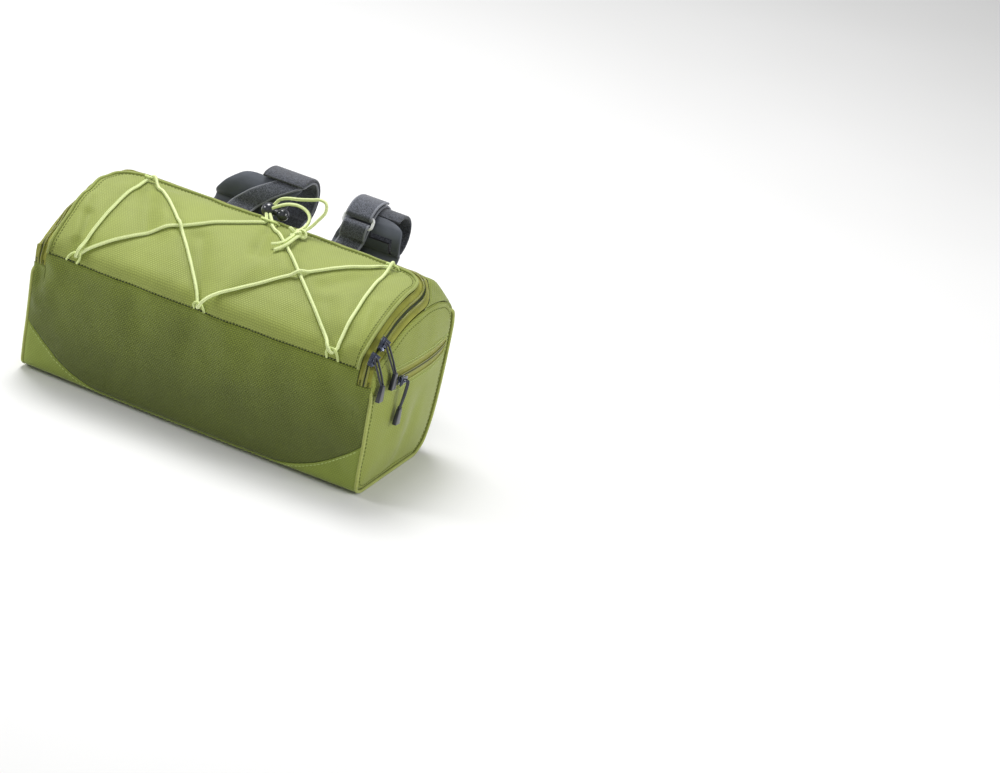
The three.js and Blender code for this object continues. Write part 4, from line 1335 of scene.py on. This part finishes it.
class Bench:
    """Models small hard pieces in edit mode at the origin, in millimetres."""

    def cube(self, size: tuple, place: tuple = (0, 0, 0)) -> bpy.types.Object:
        """Adds a box and leaves it in object mode.

        Args:
            size: its three sizes.
            place: its middle.

        Returns:
            The box.
        """
        bpy.ops.object.select_all(action="DESELECT")
        bpy.ops.mesh.primitive_cube_add(size=MM, location=Vector(place) * MM, scale=size)
        bpy.ops.object.transform_apply(location=True, rotation=True, scale=True)
        return bpy.context.object

    def ball(self, radius: float, place: tuple = (0, 0, 0)) -> bpy.types.Object:
        """Adds a ball whose poles lie along X.

        Args:
            radius: its radius.
            place: its middle.

        Returns:
            The ball.
        """
        bpy.ops.object.select_all(action="DESELECT")
        bpy.ops.mesh.primitive_uv_sphere_add(segments=36, ring_count=22, radius=radius * MM,
                                             location=Vector(place) * MM, rotation=(0, math.pi / 2, 0))
        bpy.ops.object.transform_apply(location=True, rotation=True, scale=True)
        return bpy.context.object

    def pick(self, obj: bpy.types.Object, test: Callable[[Vector, Vector], bool]) -> None:
        """Selects the faces whose middle (mm) and normal pass a test, in edit mode.

        Args:
            obj: the object.
            test: takes a middle and a normal.
        """
        bpy.context.view_layer.objects.active = obj
        bpy.ops.object.mode_set(mode="EDIT")
        bpy.ops.mesh.select_all(action="DESELECT")
        bpy.ops.object.mode_set(mode="OBJECT")
        for face in obj.data.polygons:
            face.select = test(face.center / MM, face.normal)
        bpy.ops.object.mode_set(mode="EDIT")

    def sink(self, inset: float, depth: float) -> None:
        """Insets what is selected and pushes it in, or out with a negative depth."""
        bpy.ops.mesh.inset(thickness=inset * MM)
        bpy.ops.mesh.extrude_region_shrink_fatten(TRANSFORM_OT_shrink_fatten={"value": -depth * MM})

    def narrow(self, value: tuple) -> None:
        """Scales what is selected about its middle."""
        bpy.ops.transform.resize(value=value)

    def done(self, obj: bpy.types.Object, bevel: float = 0.0) -> bpy.types.Object:
        """Leaves edit mode and rounds the edges.

        Args:
            obj: the object.
            bevel: width of the rounding, or 0 for none.

        Returns:
            The same object.
        """
        bpy.ops.object.mode_set(mode="OBJECT")
        if bevel:
            edge = obj.modifiers.new("edges", "BEVEL")
            edge.width = bevel * MM
            edge.segments = 3
            edge.angle_limit = math.radians(40)
            bpy.ops.object.modifier_apply(modifier="edges")
        return obj

    def join(self, name: str, parts: Sequence[bpy.types.Object]) -> bpy.types.Object:
        """Joins pieces into the first one.

        Args:
            name: the whole's name.
            parts: the pieces.

        Returns:
            The whole.
        """
        bpy.ops.object.select_all(action="DESELECT")
        for part in parts:
            part.select_set(True)
        bpy.context.view_layer.objects.active = parts[0]
        bpy.ops.object.join()
        parts[0].name = name
        return parts[0]

    def place(self, obj: bpy.types.Object, centre: Array, axes: Array, material: bpy.types.Material,
              *replaced: str) -> bpy.types.Object:
        """Sets a piece in its place in the bag's frame.

        Args:
            obj: the piece at the origin.
            centre: where its middle goes, in millimetres.
            axes: three unit vectors that its X, Y and Z turn to.
            material: its finish.
            replaced: the CAD nodes that it stands for.

        Returns:
            The finished piece.
        """
        turn = Matrix(np.asarray(axes).T.tolist()).to_4x4()
        obj.data.transform(Matrix.Translation(Vector(centre) * MM) @ turn)
        obj.data.materials.clear()
        obj.data.materials.append(material)
        return dress(obj, *replaced)


@dataclass
class Pulls:
    """The three sliders with their pull cords and tabs."""

    body: Body
    palette: Palette
    bench: Bench
    length: float = 11.0
    width: float = 8.0
    hang: float = 1.4

    def slider(self, name: str, centre: Array, along: Array, out: Array) -> None:
        """One slider: two plates, the post between them and the arch on top.

        Args:
            name: the slider's name.
            centre: its middle.
            along: direction of the zip.
            out: direction off the cloth.
        """
        plates = []
        for z, size in ((-1.35, 0.94), (1.2, 1.0)):
            plate = self.bench.cube((self.length * size, self.width * size, 1.2), (0, 0, z))
            self.bench.pick(plate, lambda c, n: n.x < -0.9)
            self.bench.narrow((1, 0.58, 1))
            if z > 0:
                self.bench.pick(plate, lambda c, n: n.z > 0.9)
                self.bench.sink(1.3, -0.35)
            plates.append(self.bench.done(plate, 0.35))
        post = self.bench.cube((2.4, 3.0, 2.0), (2.6, 0, 0))
        bpy.ops.object.select_all(action="DESELECT")
        bpy.ops.mesh.primitive_torus_add(major_radius=2.1 * MM, minor_radius=0.6 * MM, major_segments=28,
                                         minor_segments=10, location=(0, 0, 2.2 * MM),
                                         rotation=(math.pi / 2, 0, 0))
        arch = bpy.context.object
        arch.scale = (1.35, 1, 0.85)
        bpy.ops.object.transform_apply(location=True, rotation=True, scale=True)
        whole = self.bench.join(f"{name}_body", [*plates, post, arch])
        side = np.cross(out, along)
        self.bench.place(whole, centre, np.array([along, side, out]), self.palette.get("slider"), name)

    def tab(self, name: str) -> Array:
        """One moulded tab, waisted at its top with a sunk face, and the place of its top.

        Args:
            name: the tab's name.

        Returns:
            The place where the cord enters it.
        """
        low, high = (np.array(corner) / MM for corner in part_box(name))
        size = high - low
        tab = self.bench.cube((size[2], size[1], 3.6))
        self.bench.pick(tab, lambda c, n: n.x < -0.9)
        self.bench.narrow((1, 0.62, 0.8))
        self.bench.pick(tab, lambda c, n: abs(n.z) > 0.8)
        self.bench.sink(1.1, 0.7)
        self.bench.done(tab, 0.4)
        ribs = [self.bench.cube((0.9, size[1] * 0.5, 3.2), (x, 0, 0)) for x in (0.0, 2.2, 4.4)]
        whole = self.bench.join(f"{name}_moulding", [tab, *ribs])
        down = unit(np.array([0, -0.08, -1.0]))
        axes = np.array([down, np.cross([1.0, 0, 0], down), [1.0, 0, 0]])
        self.bench.place(whole, (low + high) / 2, axes, self.palette.get("tab"), name)
        return np.array([(low[0] + high[0]) / 2, (low[1] + high[1]) / 2 + 0.5, high[2] - 0.8])

    def cord(self, name: str, start: Array, end: Array, out: Array) -> None:
        """A doubled pull cord from the slider's arch to the tab.

        Args:
            name: the cord's name.
            start: the arch.
            end: the tab's top.
            out: direction off the cloth.
        """
        side = unit(np.cross(end - start, out))
        strands = []
        for way in (-1, 1):
            across = side * way
            hang = start + (end - start) * 0.45 + out * self.hang + across * 1.5
            knots = [start - across * 0.2, start + out * 1.3 + across * 1.0, hang, end + across * 0.9]
            strands.append(tube(spaced(spline(knots, 12), 0.8), 0.85, 10))
        collar = tube(np.array([end + (start - end) * 0.02, end + unit(start - end) * 2.4]), 1.7, 12)
        make(f"{name}_strands", strands[0] + strands[1] + collar, self.palette.get("pull_cord"), name)

    def build(self) -> None:
        """Makes the three sliders."""
        sleeve = self.body.sleeve
        x = self.body.lid_half + self.body.tape / 2
        for name, s in (("main_slider_upper", 31), ("main_slider_lower", 14)):
            along = unit(sleeve.face(x, s + 1) - sleeve.face(x, s - 1))
            self.whole(name, along, sleeve.normal(x, s))
        self.whole("pocket_slider", np.array([0, -1.0, 0]), np.array([1.0, 0, 0]))

    def whole(self, name: str, along: Array, out: Array) -> None:
        """A slider, its cord and its tab.

        Args:
            name: the slider's name.
            along: direction of the zip.
            out: direction off the cloth.
        """
        low, high = (np.array(corner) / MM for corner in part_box(name))
        centre = (low + high) / 2
        self.slider(name, centre, along, out)
        top = self.tab(f"{name}_tab")
        self.cord(f"{name}_cord", centre + out * 3.4, top, out)


# Lace, loops, lock and tails

LOOPS = (  # name, x, direction of the eye, half width, reach, lean of the eye
    ("seam_loop_left", -119.5, 1, 5.0, 7.0, 5.0), ("seam_loop_middle", 0.0, 1, 5.0, 5.0, 0.0),
    ("seam_loop_right", 119.5, 1, 5.0, 7.0, -1.0), ("top_loop_left", -113.0, -1, 5.0, 7.0, 1.0),
    ("top_loop_middle", 0.0, -1, 7.0, 8.0, 0.0), ("top_loop_right", 113.0, -1, 5.0, 5.0, 0.0),
)
STRANDS = (  # from, to, shift of each end along x, sideways bow, the strand it lies on or -1
    ("top_loop_middle", "seam_loop_left", -1.8, 0.6, 0.0, -1),
    ("seam_loop_left", "top_loop_left", 0.6, -1.0, 0.0, -1),
    ("top_loop_left", "seam_loop_middle", 5.0, -2.5, 4.5, 0),
    ("seam_loop_middle", "top_loop_right", 3.0, -2.0, -2.0, 5),
    ("top_loop_right", "seam_loop_right", 1.0, 3.0, 0.0, -1),
    ("seam_loop_right", "top_loop_middle", -3.5, 4.5, 0.0, -1),
)
TAILS = {
    "lace_tail_upper": [(-3, 33, 174), (5, 31, 178.5), (16, 30, 181.5), (28, 29, 185.5), (35, 28, 188),
                        (41, 27, 187), (43, 24.5, 181), (39.5, 20.5, 173.5), (36, 15.5, 167.4),
                        (33, 9, 164.6)],
    "lace_tail_lower": [(0, 24.5, 171.5), (8, 26.5, 175.5), (17.5, 27.5, 177), (26, 26, 175.5),
                        (31, 22.5, 172.5), (32.6, 18, 169.5), (32.2, 14.5, 167.2), (30.5, 9, 165)],
    "lace_end_upper": [(30, 3.6, 163), (30.3, -3, 163), (31, -10, 163.2), (30.6, -16, 162.2),
                       (27, -21.5, 160.6), (23.2, -24.5, 159.8)],
    "lace_end_lower": [(33.6, 3.6, 163), (33.8, -3, 163), (34.4, -10, 163), (34.2, -17.5, 161.8),
                       (31.5, -24.5, 159.4), (28.5, -29, 157.8)],
}


@dataclass
class Lacing:
    """The elastic lace through its six loops, the lock and the loose tails."""

    body: Body
    palette: Palette
    bench: Bench
    radius: float = 1.38
    loop_radius: float = 1.0
    crossing: float = 3.5
    ball: float = 5.6
    plunger: float = 4.9

    def __post_init__(self) -> None:
        """Works out the heights of lace and loops above the cloth."""
        self.low = self.radius + 0.35
        self.loop_high = self.low + self.radius + GAP + self.loop_radius
        self.high = self.loop_high + self.loop_radius + GAP + self.radius
        self.top_foot = self.body.lid_end - 2.6 - self.loop_radius - 2.5
        self.lock_ball = self.above(-9, self.top_foot + 8.5, self.ball + 2.6)
        self.lock_tip = self.above(3.4, self.top_foot + 10, self.plunger + 3)

    def above(self, x: float, s: float, height: float) -> Array:
        """A point over the smooth face at x and s."""
        return self.body.sleeve.face(x, s) + self.body.sleeve.normal(x, s) * height

    def foot(self, way: int) -> float:
        """Where a loop's legs leave the seam."""
        return 1.5 if way > 0 else self.top_foot

    def eye(self, name: str) -> Array:
        """The x and s of a loop's far end."""
        _, x, way, _, reach, lean = next(row for row in LOOPS if row[0] == name)
        return np.array([x + lean, self.foot(way) + way * reach])

    def build_loops(self) -> None:
        """The six small cord loops, each with its stitched bar."""
        arm = ((1, -0.1, 0.2), (1, 0.22, 1.3), (0.96, 0.6, self.loop_high * 0.75),
               (0.62, 0.92, self.loop_high))
        for name, x, way, half, reach, lean in LOOPS:
            foot = self.foot(way)
            left, right = ([(x + side * half * w + lean * r, foot + way * r * reach, h) for w, r, h in arm]
                           for side in (-1, 1))
            knots = np.array([*left, (x + lean, foot + way * reach * 1.02, self.loop_high), *right[::-1]])
            rows = spaced(spline(knots, 8), 0.8)
            make(f"{name}_cord", tube(self.body.sleeve.at(*rows.T), self.loop_radius, 10),
                 self.palette.get("loop"), name)
            bar = np.linspace(-half - 2, half + 2, 20)
            row = np.stack([x + bar, np.full(20, foot - way * 0.2)], -1)
            self.body.sew(f"{name}_bar_tack", row, "green_thread", 1.3)

    def strand(self, index: int) -> Array:
        """Points x, s of one run of the lace, about a millimetre apart.

        Args:
            index: its row in STRANDS.

        Returns:
            The points x, s.
        """
        start, end, first, last, bow, _ = STRANDS[index]
        a, b = self.eye(start) + [first, 0], self.eye(end) + [last, 0]
        length = np.linalg.norm(b - a)
        t = np.linspace(0, 1, int(length))[:, None]
        across = np.array([a[1] - b[1], b[0] - a[0]]) / length
        return a + (b - a) * t + across * bow * np.sin(math.pi * t)

    def route(self) -> Array:
        """The lace's middle line, from the lock round the loops and back.

        Returns:
            The points, in millimetres.
        """
        sleeve = self.body.sleeve
        middle = self.eye("top_loop_middle")
        runs = [self.strand(i) for i in range(len(STRANDS))]
        rows = [[(-1.8, middle[1] + 3, self.low + 0.6)]]
        for i, run in enumerate(runs):
            height = np.full(len(run), self.low)
            if i:
                height += (self.high - self.low) * np.exp(-(np.arange(len(run)) / 7) ** 2)
            if STRANDS[i][5] >= 0:
                near = np.linalg.norm(run[:, None] - runs[STRANDS[i][5]][None], axis=-1).min(1)
                height += self.crossing * np.exp(-(near / 5) ** 2)
            rows.append(np.column_stack([run, height])[1 if i else 0:-1:3])
            if i + 1 < len(runs):
                after = runs[i + 1]
                inward = -unit(unit(run[-8] - run[-1]) + unit(after[8] - after[0]))
                tip = (run[-1] + after[0]) / 2 + inward * 2.6
                rows.append([(*tip, self.loop_high)])
        rows.append([(3.4, middle[1] + 3, self.low + 0.6)])
        fine = spaced(spline(np.vstack(rows), 6), 1.2)
        start = self.lock_ball + unit(sleeve.face(*middle) - self.lock_ball) * (self.ball - 0.5)
        return np.vstack([start + [-1.7, 0, 0], sleeve.at(*fine.T), start + [1.7, 0, 0]])

    def build_lock(self) -> None:
        """The lock: a ball with its cord hole, the stem and the plunger with a sunk ring."""
        axis = self.lock_tip - self.lock_ball
        gap = float(np.linalg.norm(axis))
        ball = self.bench.ball(self.ball + 0.5)
        self.bench.pick(ball, lambda c, n: n.x < -0.985)
        self.bench.sink(0.3, 0.3)
        self.bench.done(ball)
        tip = self.bench.ball(self.plunger + 0.3, (gap, 0, 0))
        self.bench.pick(tip, lambda c, n: n.x > 0.96)
        self.bench.sink(0.5, 0.4)
        self.bench.done(tip)
        stem = self.bench.done(self.bench.cube((gap, 4.6, 4.6), (gap / 2, 0, 0)), 1.2)
        whole = self.bench.join("cord_lock_body", [ball, tip, stem])
        x = unit(axis)
        y = unit(np.cross([0, 0, 1.0], x))
        self.bench.place(whole, self.lock_ball, np.array([x, y, np.cross(x, y)]), self.palette.get("lock"),
                         "cord_lock")

    def knot(self) -> bpy.types.Object:
        """The overhand knot of both tails.

        Returns:
            The knot's piece.
        """
        low, high = (np.array(corner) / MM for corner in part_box("lace_knot"))
        t = np.linspace(0, FULL_TURN, 120)
        line = np.stack([np.sin(t) + 2 * np.sin(2 * t), np.cos(t) - 2 * np.cos(2 * t), -np.sin(3 * t)], -1)
        size = (high - low - 3.1) * [1.2, 1.15, 1.0] / np.ptp(line, axis=0)
        middle = (low + high) / 2 + [-2.5, -5.5, 0.2]
        line = (line - (line.max(0) + line.min(0)) / 2) * size + middle
        wrap = np.stack([0.9 + 0.8 * np.cos(t), 4.2 * np.sin(t), 3.0 * np.cos(t)], -1)
        wrap = wrap * [1, 0.95, 0.95] + middle
        shell = tube(line, self.radius, 12) + tube(wrap, self.radius * 0.95, 12)
        return make("lace_knot_turns", shell, self.palette.get("lace"), "lace_knot")

    def build_tails(self) -> None:
        """The loose tails from the lock to the knot, and the two ends past it."""
        knot = self.knot()
        for name, points in TAILS.items():
            knots = np.array(points, float)
            tail = name.startswith("lace_tail")
            if tail:
                start = self.lock_ball + unit(knots[0] - self.lock_ball) * (self.ball + 0.2)
                knots = np.vstack([start, knots])
            line = spaced(spline(knots, 12), 0.9)
            cord = make(f"{name}_cord", tube(line, self.radius, 12), self.palette.get("lace"), name)

    def build(self) -> None:
        """Makes the tails, lock, loops and lace."""
        self.build_tails()
        self.build_lock()
        self.build_loops()
        lace = tube(self.route(), self.radius, 12)
        make("elastic_lace_cord", lace, self.palette.get("lace"), "elastic_lace")


# Bar straps

@dataclass
class Straps:
    """The pads, cuffs, straps and ring that hold the bar."""

    sleeve: Sleeve
    palette: Palette
    bench: Bench
    bar_radius: float = 15.9
    bar_y: float = 114.6
    bar_z: float = 145.0
    pad_wall: float = 3.0
    strap_wall: float = 2.0
    strap_width: float = 22.5
    ring_strap_width: float = 22.0
    cuff_wall: float = 2.4
    slot_x: float = 64.5
    foot_z: float = 80.0
    clear: float = 0.4
    ring_x: float = 43.0
    ring_angle: float = 27.0
    wire: float = 2.6
    opening: float = 6.8

    def __post_init__(self) -> None:
        """Works out the layers' radii round the bar."""
        self.pad_radius = self.bar_radius + self.clear + self.pad_wall / 2
        self.strap_radius = self.bar_radius + self.clear + self.pad_wall + GAP + self.strap_wall / 2
        self.outer = self.strap_radius + self.strap_wall + GAP

    def bar(self, x: float, radius: float, degrees: float) -> tuple[float, float, float]:
        """A point round the bar: 0 degrees in front of it and 90 above it."""
        angle = math.radians(degrees)
        return (x, self.bar_y - radius * math.cos(angle), self.bar_z + radius * math.sin(angle))

    def behind(self, x: float, z: float, clear: float) -> Array:
        """A point just behind the bag's back at a height.

        Args:
            x: place across the bag, in millimetres.
            z: the height.
            clear: distance from the cloth.

        Returns:
            The point.
        """
        s = np.linspace(self.sleeve.reach("lid_back"), self.sleeve.reach("back_corner"), 600)
        heights = self.sleeve.face(x, s)[:, 2]
        at = np.interp(-z, -heights, s)
        return self.sleeve.face(x, at) + self.sleeve.normal(x, at) * clear

    def turn(self, centre: Array, out: Array, up: Array, way: int, x: float) -> list[Array]:
        """A strap's bend round one of the ring's bars.

        Args:
            centre: the bar's middle.
            out: direction off the handlebar.
            up: direction up the ring.
            way: 1 for the ring's upper bar, -1 for its lower one.
            x: place across the bag, in millimetres.

        Returns:
            Points round that bar.
        """
        radius = self.wire * 0.62 + GAP + self.strap_wall / 2
        points = []
        for degrees in (90, 60, 30, 0, -30, -60, -90):
            a = math.radians(degrees)
            q = centre + out * math.sin(a) * radius - up * way * math.cos(a) * radius
            points.append(np.array([x, q[1], q[2]]))
        return points

    def build_pads(self) -> None:
        """The two smooth pads with bound edges; the right one has the slot of its strap."""
        rows = {
            "bar_pad_left": [(-48, -94, -32), (-25, -93, -28), (-5, -89, -25), (15, -84, -22), (35, -77, -19),
                             (48, -72, -17), (53, -68, -17), (56, -62, -18)],
            "bar_pad_right": [(-48, 82, 20), (-25, 83, 23), (-5, 83, 26), (15, 82.5, 28), (35, 81, 29),
                              (44, 78, 29), (50, 74, 29), (54, 69, 30), (56, 64, 33)],
        }
        for name, table in rows.items():
            _, a, b = table[0]
            foot = self.behind((a + b) / 2, 94, self.pad_wall / 2 - 0.3)
            first = np.array(self.bar((a + b) / 2, self.pad_radius, table[0][0]))
            knots = [foot, foot + (first - foot) * 0.33, foot + (first - foot) * 0.66]
            widths = [abs(a - b)] * 3
            for angle, a, b in table:
                knots.append(np.array(self.bar((a + b) / 2, self.pad_radius, angle)))
                widths.append(abs(a - b))
            shell = strap(knots, np.array(widths), self.pad_wall)
            pad = make(f"{name}_face", shell, self.palette.get("pad"), name)
            if name == "bar_pad_right":
                self.cut_slot(pad)
            sides = []
            for way in (-1, 1):
                line = np.array(knots, float)
                line[:, 0] += way * (np.array(widths) / 2 - 2.4)
                line = spaced(spline(line, 8), 1.5)
                out = unit(np.cross(unit(np.gradient(line, axis=0)), (1.0, 0, 0)))
                sides.append(stitches(line + out * (self.pad_wall / 2 + 0.05), out, 3.0, 2.1, 0.35))
            make(f"{name}_stitches", sides[0] + sides[1], self.palette.get("dark_thread"))

    def cut_slot(self, pad: bpy.types.Object) -> None:
        """Cuts the right pad's slot and the slit down its outer side, and gives their walls near-black
        painted shade.

        Args:
            pad: the right pad.
        """
        y, z = self.bar_y - self.pad_radius, self.bar_z
        for size, place in (((21, 9, 4.8), (self.slot_x, y, z + 1)), ((2.6, 12, 13), (74.0, y + 2, z - 5))):
            cutter = self.bench.cube(size, place)
            cut = pad.modifiers.new("slot", "BOOLEAN")
            cut.object = cutter
            cut.operation = "DIFFERENCE"
            bpy.context.view_layer.objects.active = pad
            bpy.ops.object.modifier_apply(modifier="slot")
            bpy.data.objects.remove(cutter)
        # painted shade: the walls of the slot and slit take the near-black thread finish, standing in for the
        # shade inside them
        pad.data.materials.append(self.palette.get("dark_thread"))
        for face in pad.data.polygons:
            x, _, z = face.center / MM
            rim = abs(face.normal.z) > 0.8 or abs(face.normal.x) > 0.8
            if rim and abs(x - self.slot_x) < 11.5 and -13 < z - self.bar_z < 4:
                face.material_index = 1
        smooth(pad, 50)

    def build_cuffs(self) -> None:
        """The two rough cuffs round the bar."""
        snug = self.bar_radius + self.clear + self.cuff_wall / 2 + 0.4
        over = self.strap_radius + 0.2
        for name, a, b, radius, lift, start, end in (("bar_cuff_right", 29, 75, snug, 0.0, 59, 296),
                                                     ("bar_cuff_left", -53, -14, over, 2.6, 50, 246)):
            knots = [self.bar((a + b) / 2, radius + lift * math.exp(-((t - 50) / 22) ** 2), t)
                     for t in np.linspace(start, end, 26)]
            make(f"{name}_pile", strap(knots, b - a, self.cuff_wall, 4), self.palette.get("cuff"), name)

    def web(self, name: str, knots: Sequence, width: float) -> None:
        """A strap's webbing and its two woven edges.

        Args:
            name: the strap's name.
            knots: points of its middle line.
            width: its width.
        """
        make(f"{name}_web", strap(knots, width, self.strap_wall, 5), self.palette.get("strap"), name)
        line = spaced(spline(np.array(knots, float), 8), 1.4)
        inner, radius = width / 2 - 0.35, self.strap_wall / 2 + 0.12
        cords = [tube(line + [way * inner, 0, 0], radius, 8) for way in (-1, 1)]
        make(f"{name}_edges", cords[0] + cords[1], self.palette.get("edge"))

    def build_right(self) -> None:
        """The right strap over the bar, the short strap below and the ring between them."""
        angle = math.radians(self.ring_angle)
        out = np.array([0, -math.cos(angle), math.sin(angle)])
        up = np.array([0, math.sin(angle), math.cos(angle)])
        middle = self.strap_radius + self.strap_wall / 2 + GAP + self.wire / 2 + 0.4
        centre = np.array(self.bar(self.ring_x, middle, self.ring_angle))
        arm = self.opening / 2 + self.wire / 2
        x = self.ring_x
        bar = self.bar
        upper = [bar(x, self.outer + 0.4, 112), bar(x, self.outer + 0.6, 95), bar(x, self.outer + 1.6, 78),
                 bar(x, self.outer + 3.0, 60), *self.turn(centre + up * arm, out, up, 1, x),
                 bar(x, self.strap_radius + 0.2, 62), bar(x, self.strap_radius, 78),
                 *(bar(x, self.strap_radius, a) for a in (95, 112, 135, 158, 180, 203, 226, 250, 268))]
        end = self.behind(x - 4, self.foot_z, self.strap_wall / 2 + GAP + 0.8)
        upper += [np.array(upper[-1]) * 0.5 + end * 0.5, end]
        self.web("bar_strap_right", upper, self.strap_width)
        low = self.behind(x - 9, 110, self.strap_wall / 2 + GAP + 0.8)
        lower = [bar(x - 2, self.outer + 1.6, -10), bar(x - 1, self.outer + 3.2, 2),
                 *self.turn(centre - up * arm, out, up, -1, x), bar(x - 1, self.strap_radius + 0.3, 4),
                 bar(x - 2, self.strap_radius + 0.3, -10), bar(x - 4, self.strap_radius + 1.6, -26)]
        lower += [np.array(lower[-1]) * 0.5 + low * 0.5, low]
        self.web("ring_strap", lower, self.ring_strap_width)
        seam = np.array([bar(x - 2 + d, self.outer + 2.8, -5) for d in np.linspace(-9, 9, 14)])
        make("ring_strap_stitches", stitches(seam, out, 2.2, 1.6, 0.4), self.palette.get("dark_thread"))
        self.ring(centre, up, arm)

    def ring(self, centre: Array, up: Array, arm: float) -> None:
        """The ring: a flat rounded frame of wire, swept round its corners.

        Args:
            centre: its middle.
            up: direction up the ring.
            arm: half its height.
        """
        half_w, half_h, radius = 12 + self.wire / 2, arm, 3.0
        corners = []
        for cx, cy, start in ((1, 1, 0), (-1, 1, 90), (-1, -1, 180), (1, -1, 270)):
            for t in np.radians(np.linspace(start, start + 90, 8)):
                corners.append((cx * (half_w - radius) + radius * math.cos(t),
                                cy * (half_h - radius) + radius * math.sin(t)))
        line = np.array([centre + np.array([1.0, 0, 0]) * a + up * b for a, b in corners])
        line = np.vstack([line, line[:1]])
        wire = tube(spaced(line, 1.0), self.wire / 2, 14)
        make("strap_ring_wire", wire, self.palette.get("ring"), "strap_ring")

    def build_left(self) -> None:
        """The slanting left strap."""
        route = [self.behind(-74, 111, self.strap_wall / 2 + GAP + 1.6)]
        rise = ((-24, 3.4, -62), (-5, 1.2, -54), (12, 0.4, -47), (30, 0, -38), (45, -0.2, -31),
                (60, -1.6, -27))
        round_bar = ((angle, -2.4, -26) for angle in (78, 95, 115, 135, 158, 180, 203, 226, 250, 268))
        for angle, more, x in (*rise, *round_bar):
            route.append(np.array(self.bar(x, self.strap_radius + more, angle)))
        route.insert(1, (route[0] + route[1]) / 2)
        end = self.behind(-30, self.foot_z, self.strap_wall / 2 + GAP + 0.8)
        route += [(route[-1] + end) / 2, end]
        self.web("bar_strap_left", route, self.strap_width)

    def build_feet(self) -> None:
        """The stitched boxes where the straps are sewn to the bag's back."""
        for name, x in (("bar_strap_left", -30.0), ("bar_strap_right", self.ring_x - 4)):
            corners = [(x - 8, 82), (x + 8, 82), (x + 8, 95), (x - 8, 95), (x - 8, 82), (x + 8, 95)]
            flat = spaced(np.array(corners, float), 1.2)
            line = np.array([self.behind(a, z, 2 * self.strap_wall + 0.1) for a, z in flat])
            make(f"{name}_foot_stitches", stitches(line, np.array([0.0, 1.0, 0.1]), 2.6, 1.8, 0.4),
                 self.palette.get("dark_thread"))

    def build(self) -> None:
        """Makes both sides' straps."""
        self.build_feet()
        self.build_pads()
        self.build_cuffs()
        self.build_right()
        self.build_left()


# Floor, lights and camera

@dataclass(frozen=True)
class Lamp:
    """A soft box: place and target in metres, size in metres, power in watts."""

    name: str
    place: tuple[float, float, float]
    size: float
    power: float
    colour: tuple[float, float, float] = (1.0, 1.0, 1.0)

    def build(self) -> None:
        """Adds the lamp, aimed at the bag."""
        light = bpy.data.lights.new(self.name, "AREA")
        light.size = self.size
        light.energy = self.power
        light.color = self.colour
        lamp = bpy.data.objects.new(self.name, light)
        lamp.location = self.place
        way = Vector((0, 0, 0.08)) - Vector(self.place)
        lamp.rotation_euler = way.to_track_quat("-Z", "Y").to_euler()
        bpy.context.collection.objects.link(lamp)


@dataclass
class Studio:
    """The pale floor, the soft boxes and the camera of the photograph's view."""

    place: tuple[float, float, float] = (1.0721, -2.3020, 1.1481)
    right: tuple[float, float, float] = (0.88896, 0.41388, 0.19609)
    down: tuple[float, float, float] = (0.33010, -0.28226, -0.90075)
    ahead: tuple[float, float, float] = (-0.31746, 0.86547, -0.38755)
    lens: float = 121.05
    shift: tuple[float, float] = (-0.001, -0.0190)
    sky: float = 0.36
    lamps: tuple[Lamp, ...] = (
        Lamp("top_box", (-0.5, 0.45, 1.9), 1.0, 36.0),
        Lamp("left_box", (-1.9, -0.8, 1.2), 0.7, 17.0),
        Lamp("right_box", (2.0, 0.1, 0.9), 0.7, 17.0),
        Lamp("front_box", (0.2, -2.4, 1.4), 1.4, 2.0),
    )

    def build_camera(self) -> None:
        """The camera, with the photograph's lens and principal point."""
        data = bpy.data.cameras.new("camera")
        data.sensor_width = 36.0
        data.lens = self.lens
        data.shift_x, data.shift_y = self.shift
        data.clip_start = 0.05
        data.dof.use_dof = False
        camera = bpy.data.objects.new("camera", data)
        right, up, back = Vector(self.right), -Vector(self.down), -Vector(self.ahead)
        turn = Matrix((right, up, back)).transposed().to_4x4()
        camera.matrix_world = Matrix.Translation(self.place) @ turn
        bpy.context.collection.objects.link(camera)
        bpy.context.scene.camera = camera

    def build_floor(self) -> None:
        """A pale floor with a faint mottle."""
        bpy.ops.object.select_all(action="DESELECT")
        bpy.ops.mesh.primitive_plane_add(size=60.0, location=(0, 0, -0.0002))
        floor = bpy.context.object
        floor.name = "floor"
        shop = Shader("floor")
        mottle = shop.noise(400.0, 2.0)
        colour = shop.tint(mottle, (0.78, 0.78, 0.775), (0.84, 0.84, 0.84))
        floor.data.materials.append(shop.feed(Base_Color=colour, Roughness=0.85))

    def build(self) -> None:
        """Makes the studio."""
        self.build_camera()
        self.build_floor()
        for lamp in self.lamps:
            lamp.build()
        world = bpy.data.worlds.new("studio")
        world.use_nodes = True
        background = world.node_tree.nodes["Background"]
        background.inputs["Color"].default_value = (1.0, 1.0, 1.0, 1.0)
        background.inputs["Strength"].default_value = self.sky
        bpy.context.scene.world = world
        bpy.context.scene.view_settings.view_transform = "Standard"


def main() -> None:
    """Builds the studio and every piece of the bag."""
    logging.basicConfig(level=logging.INFO, format="%(name)s %(message)s")
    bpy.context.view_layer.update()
    sleeve, palette, bench = Sleeve(), Palette(), Bench()
    Studio().build()
    body = Body(sleeve, palette)
    Lacing(body, palette, bench).build()
    body.build()
    Ends(sleeve, palette).build()
    Pulls(body, palette, bench).build()
    Straps(sleeve, palette, bench).build()
    bpy.context.view_layer.update()


if __name__ == "__main__":
    main()
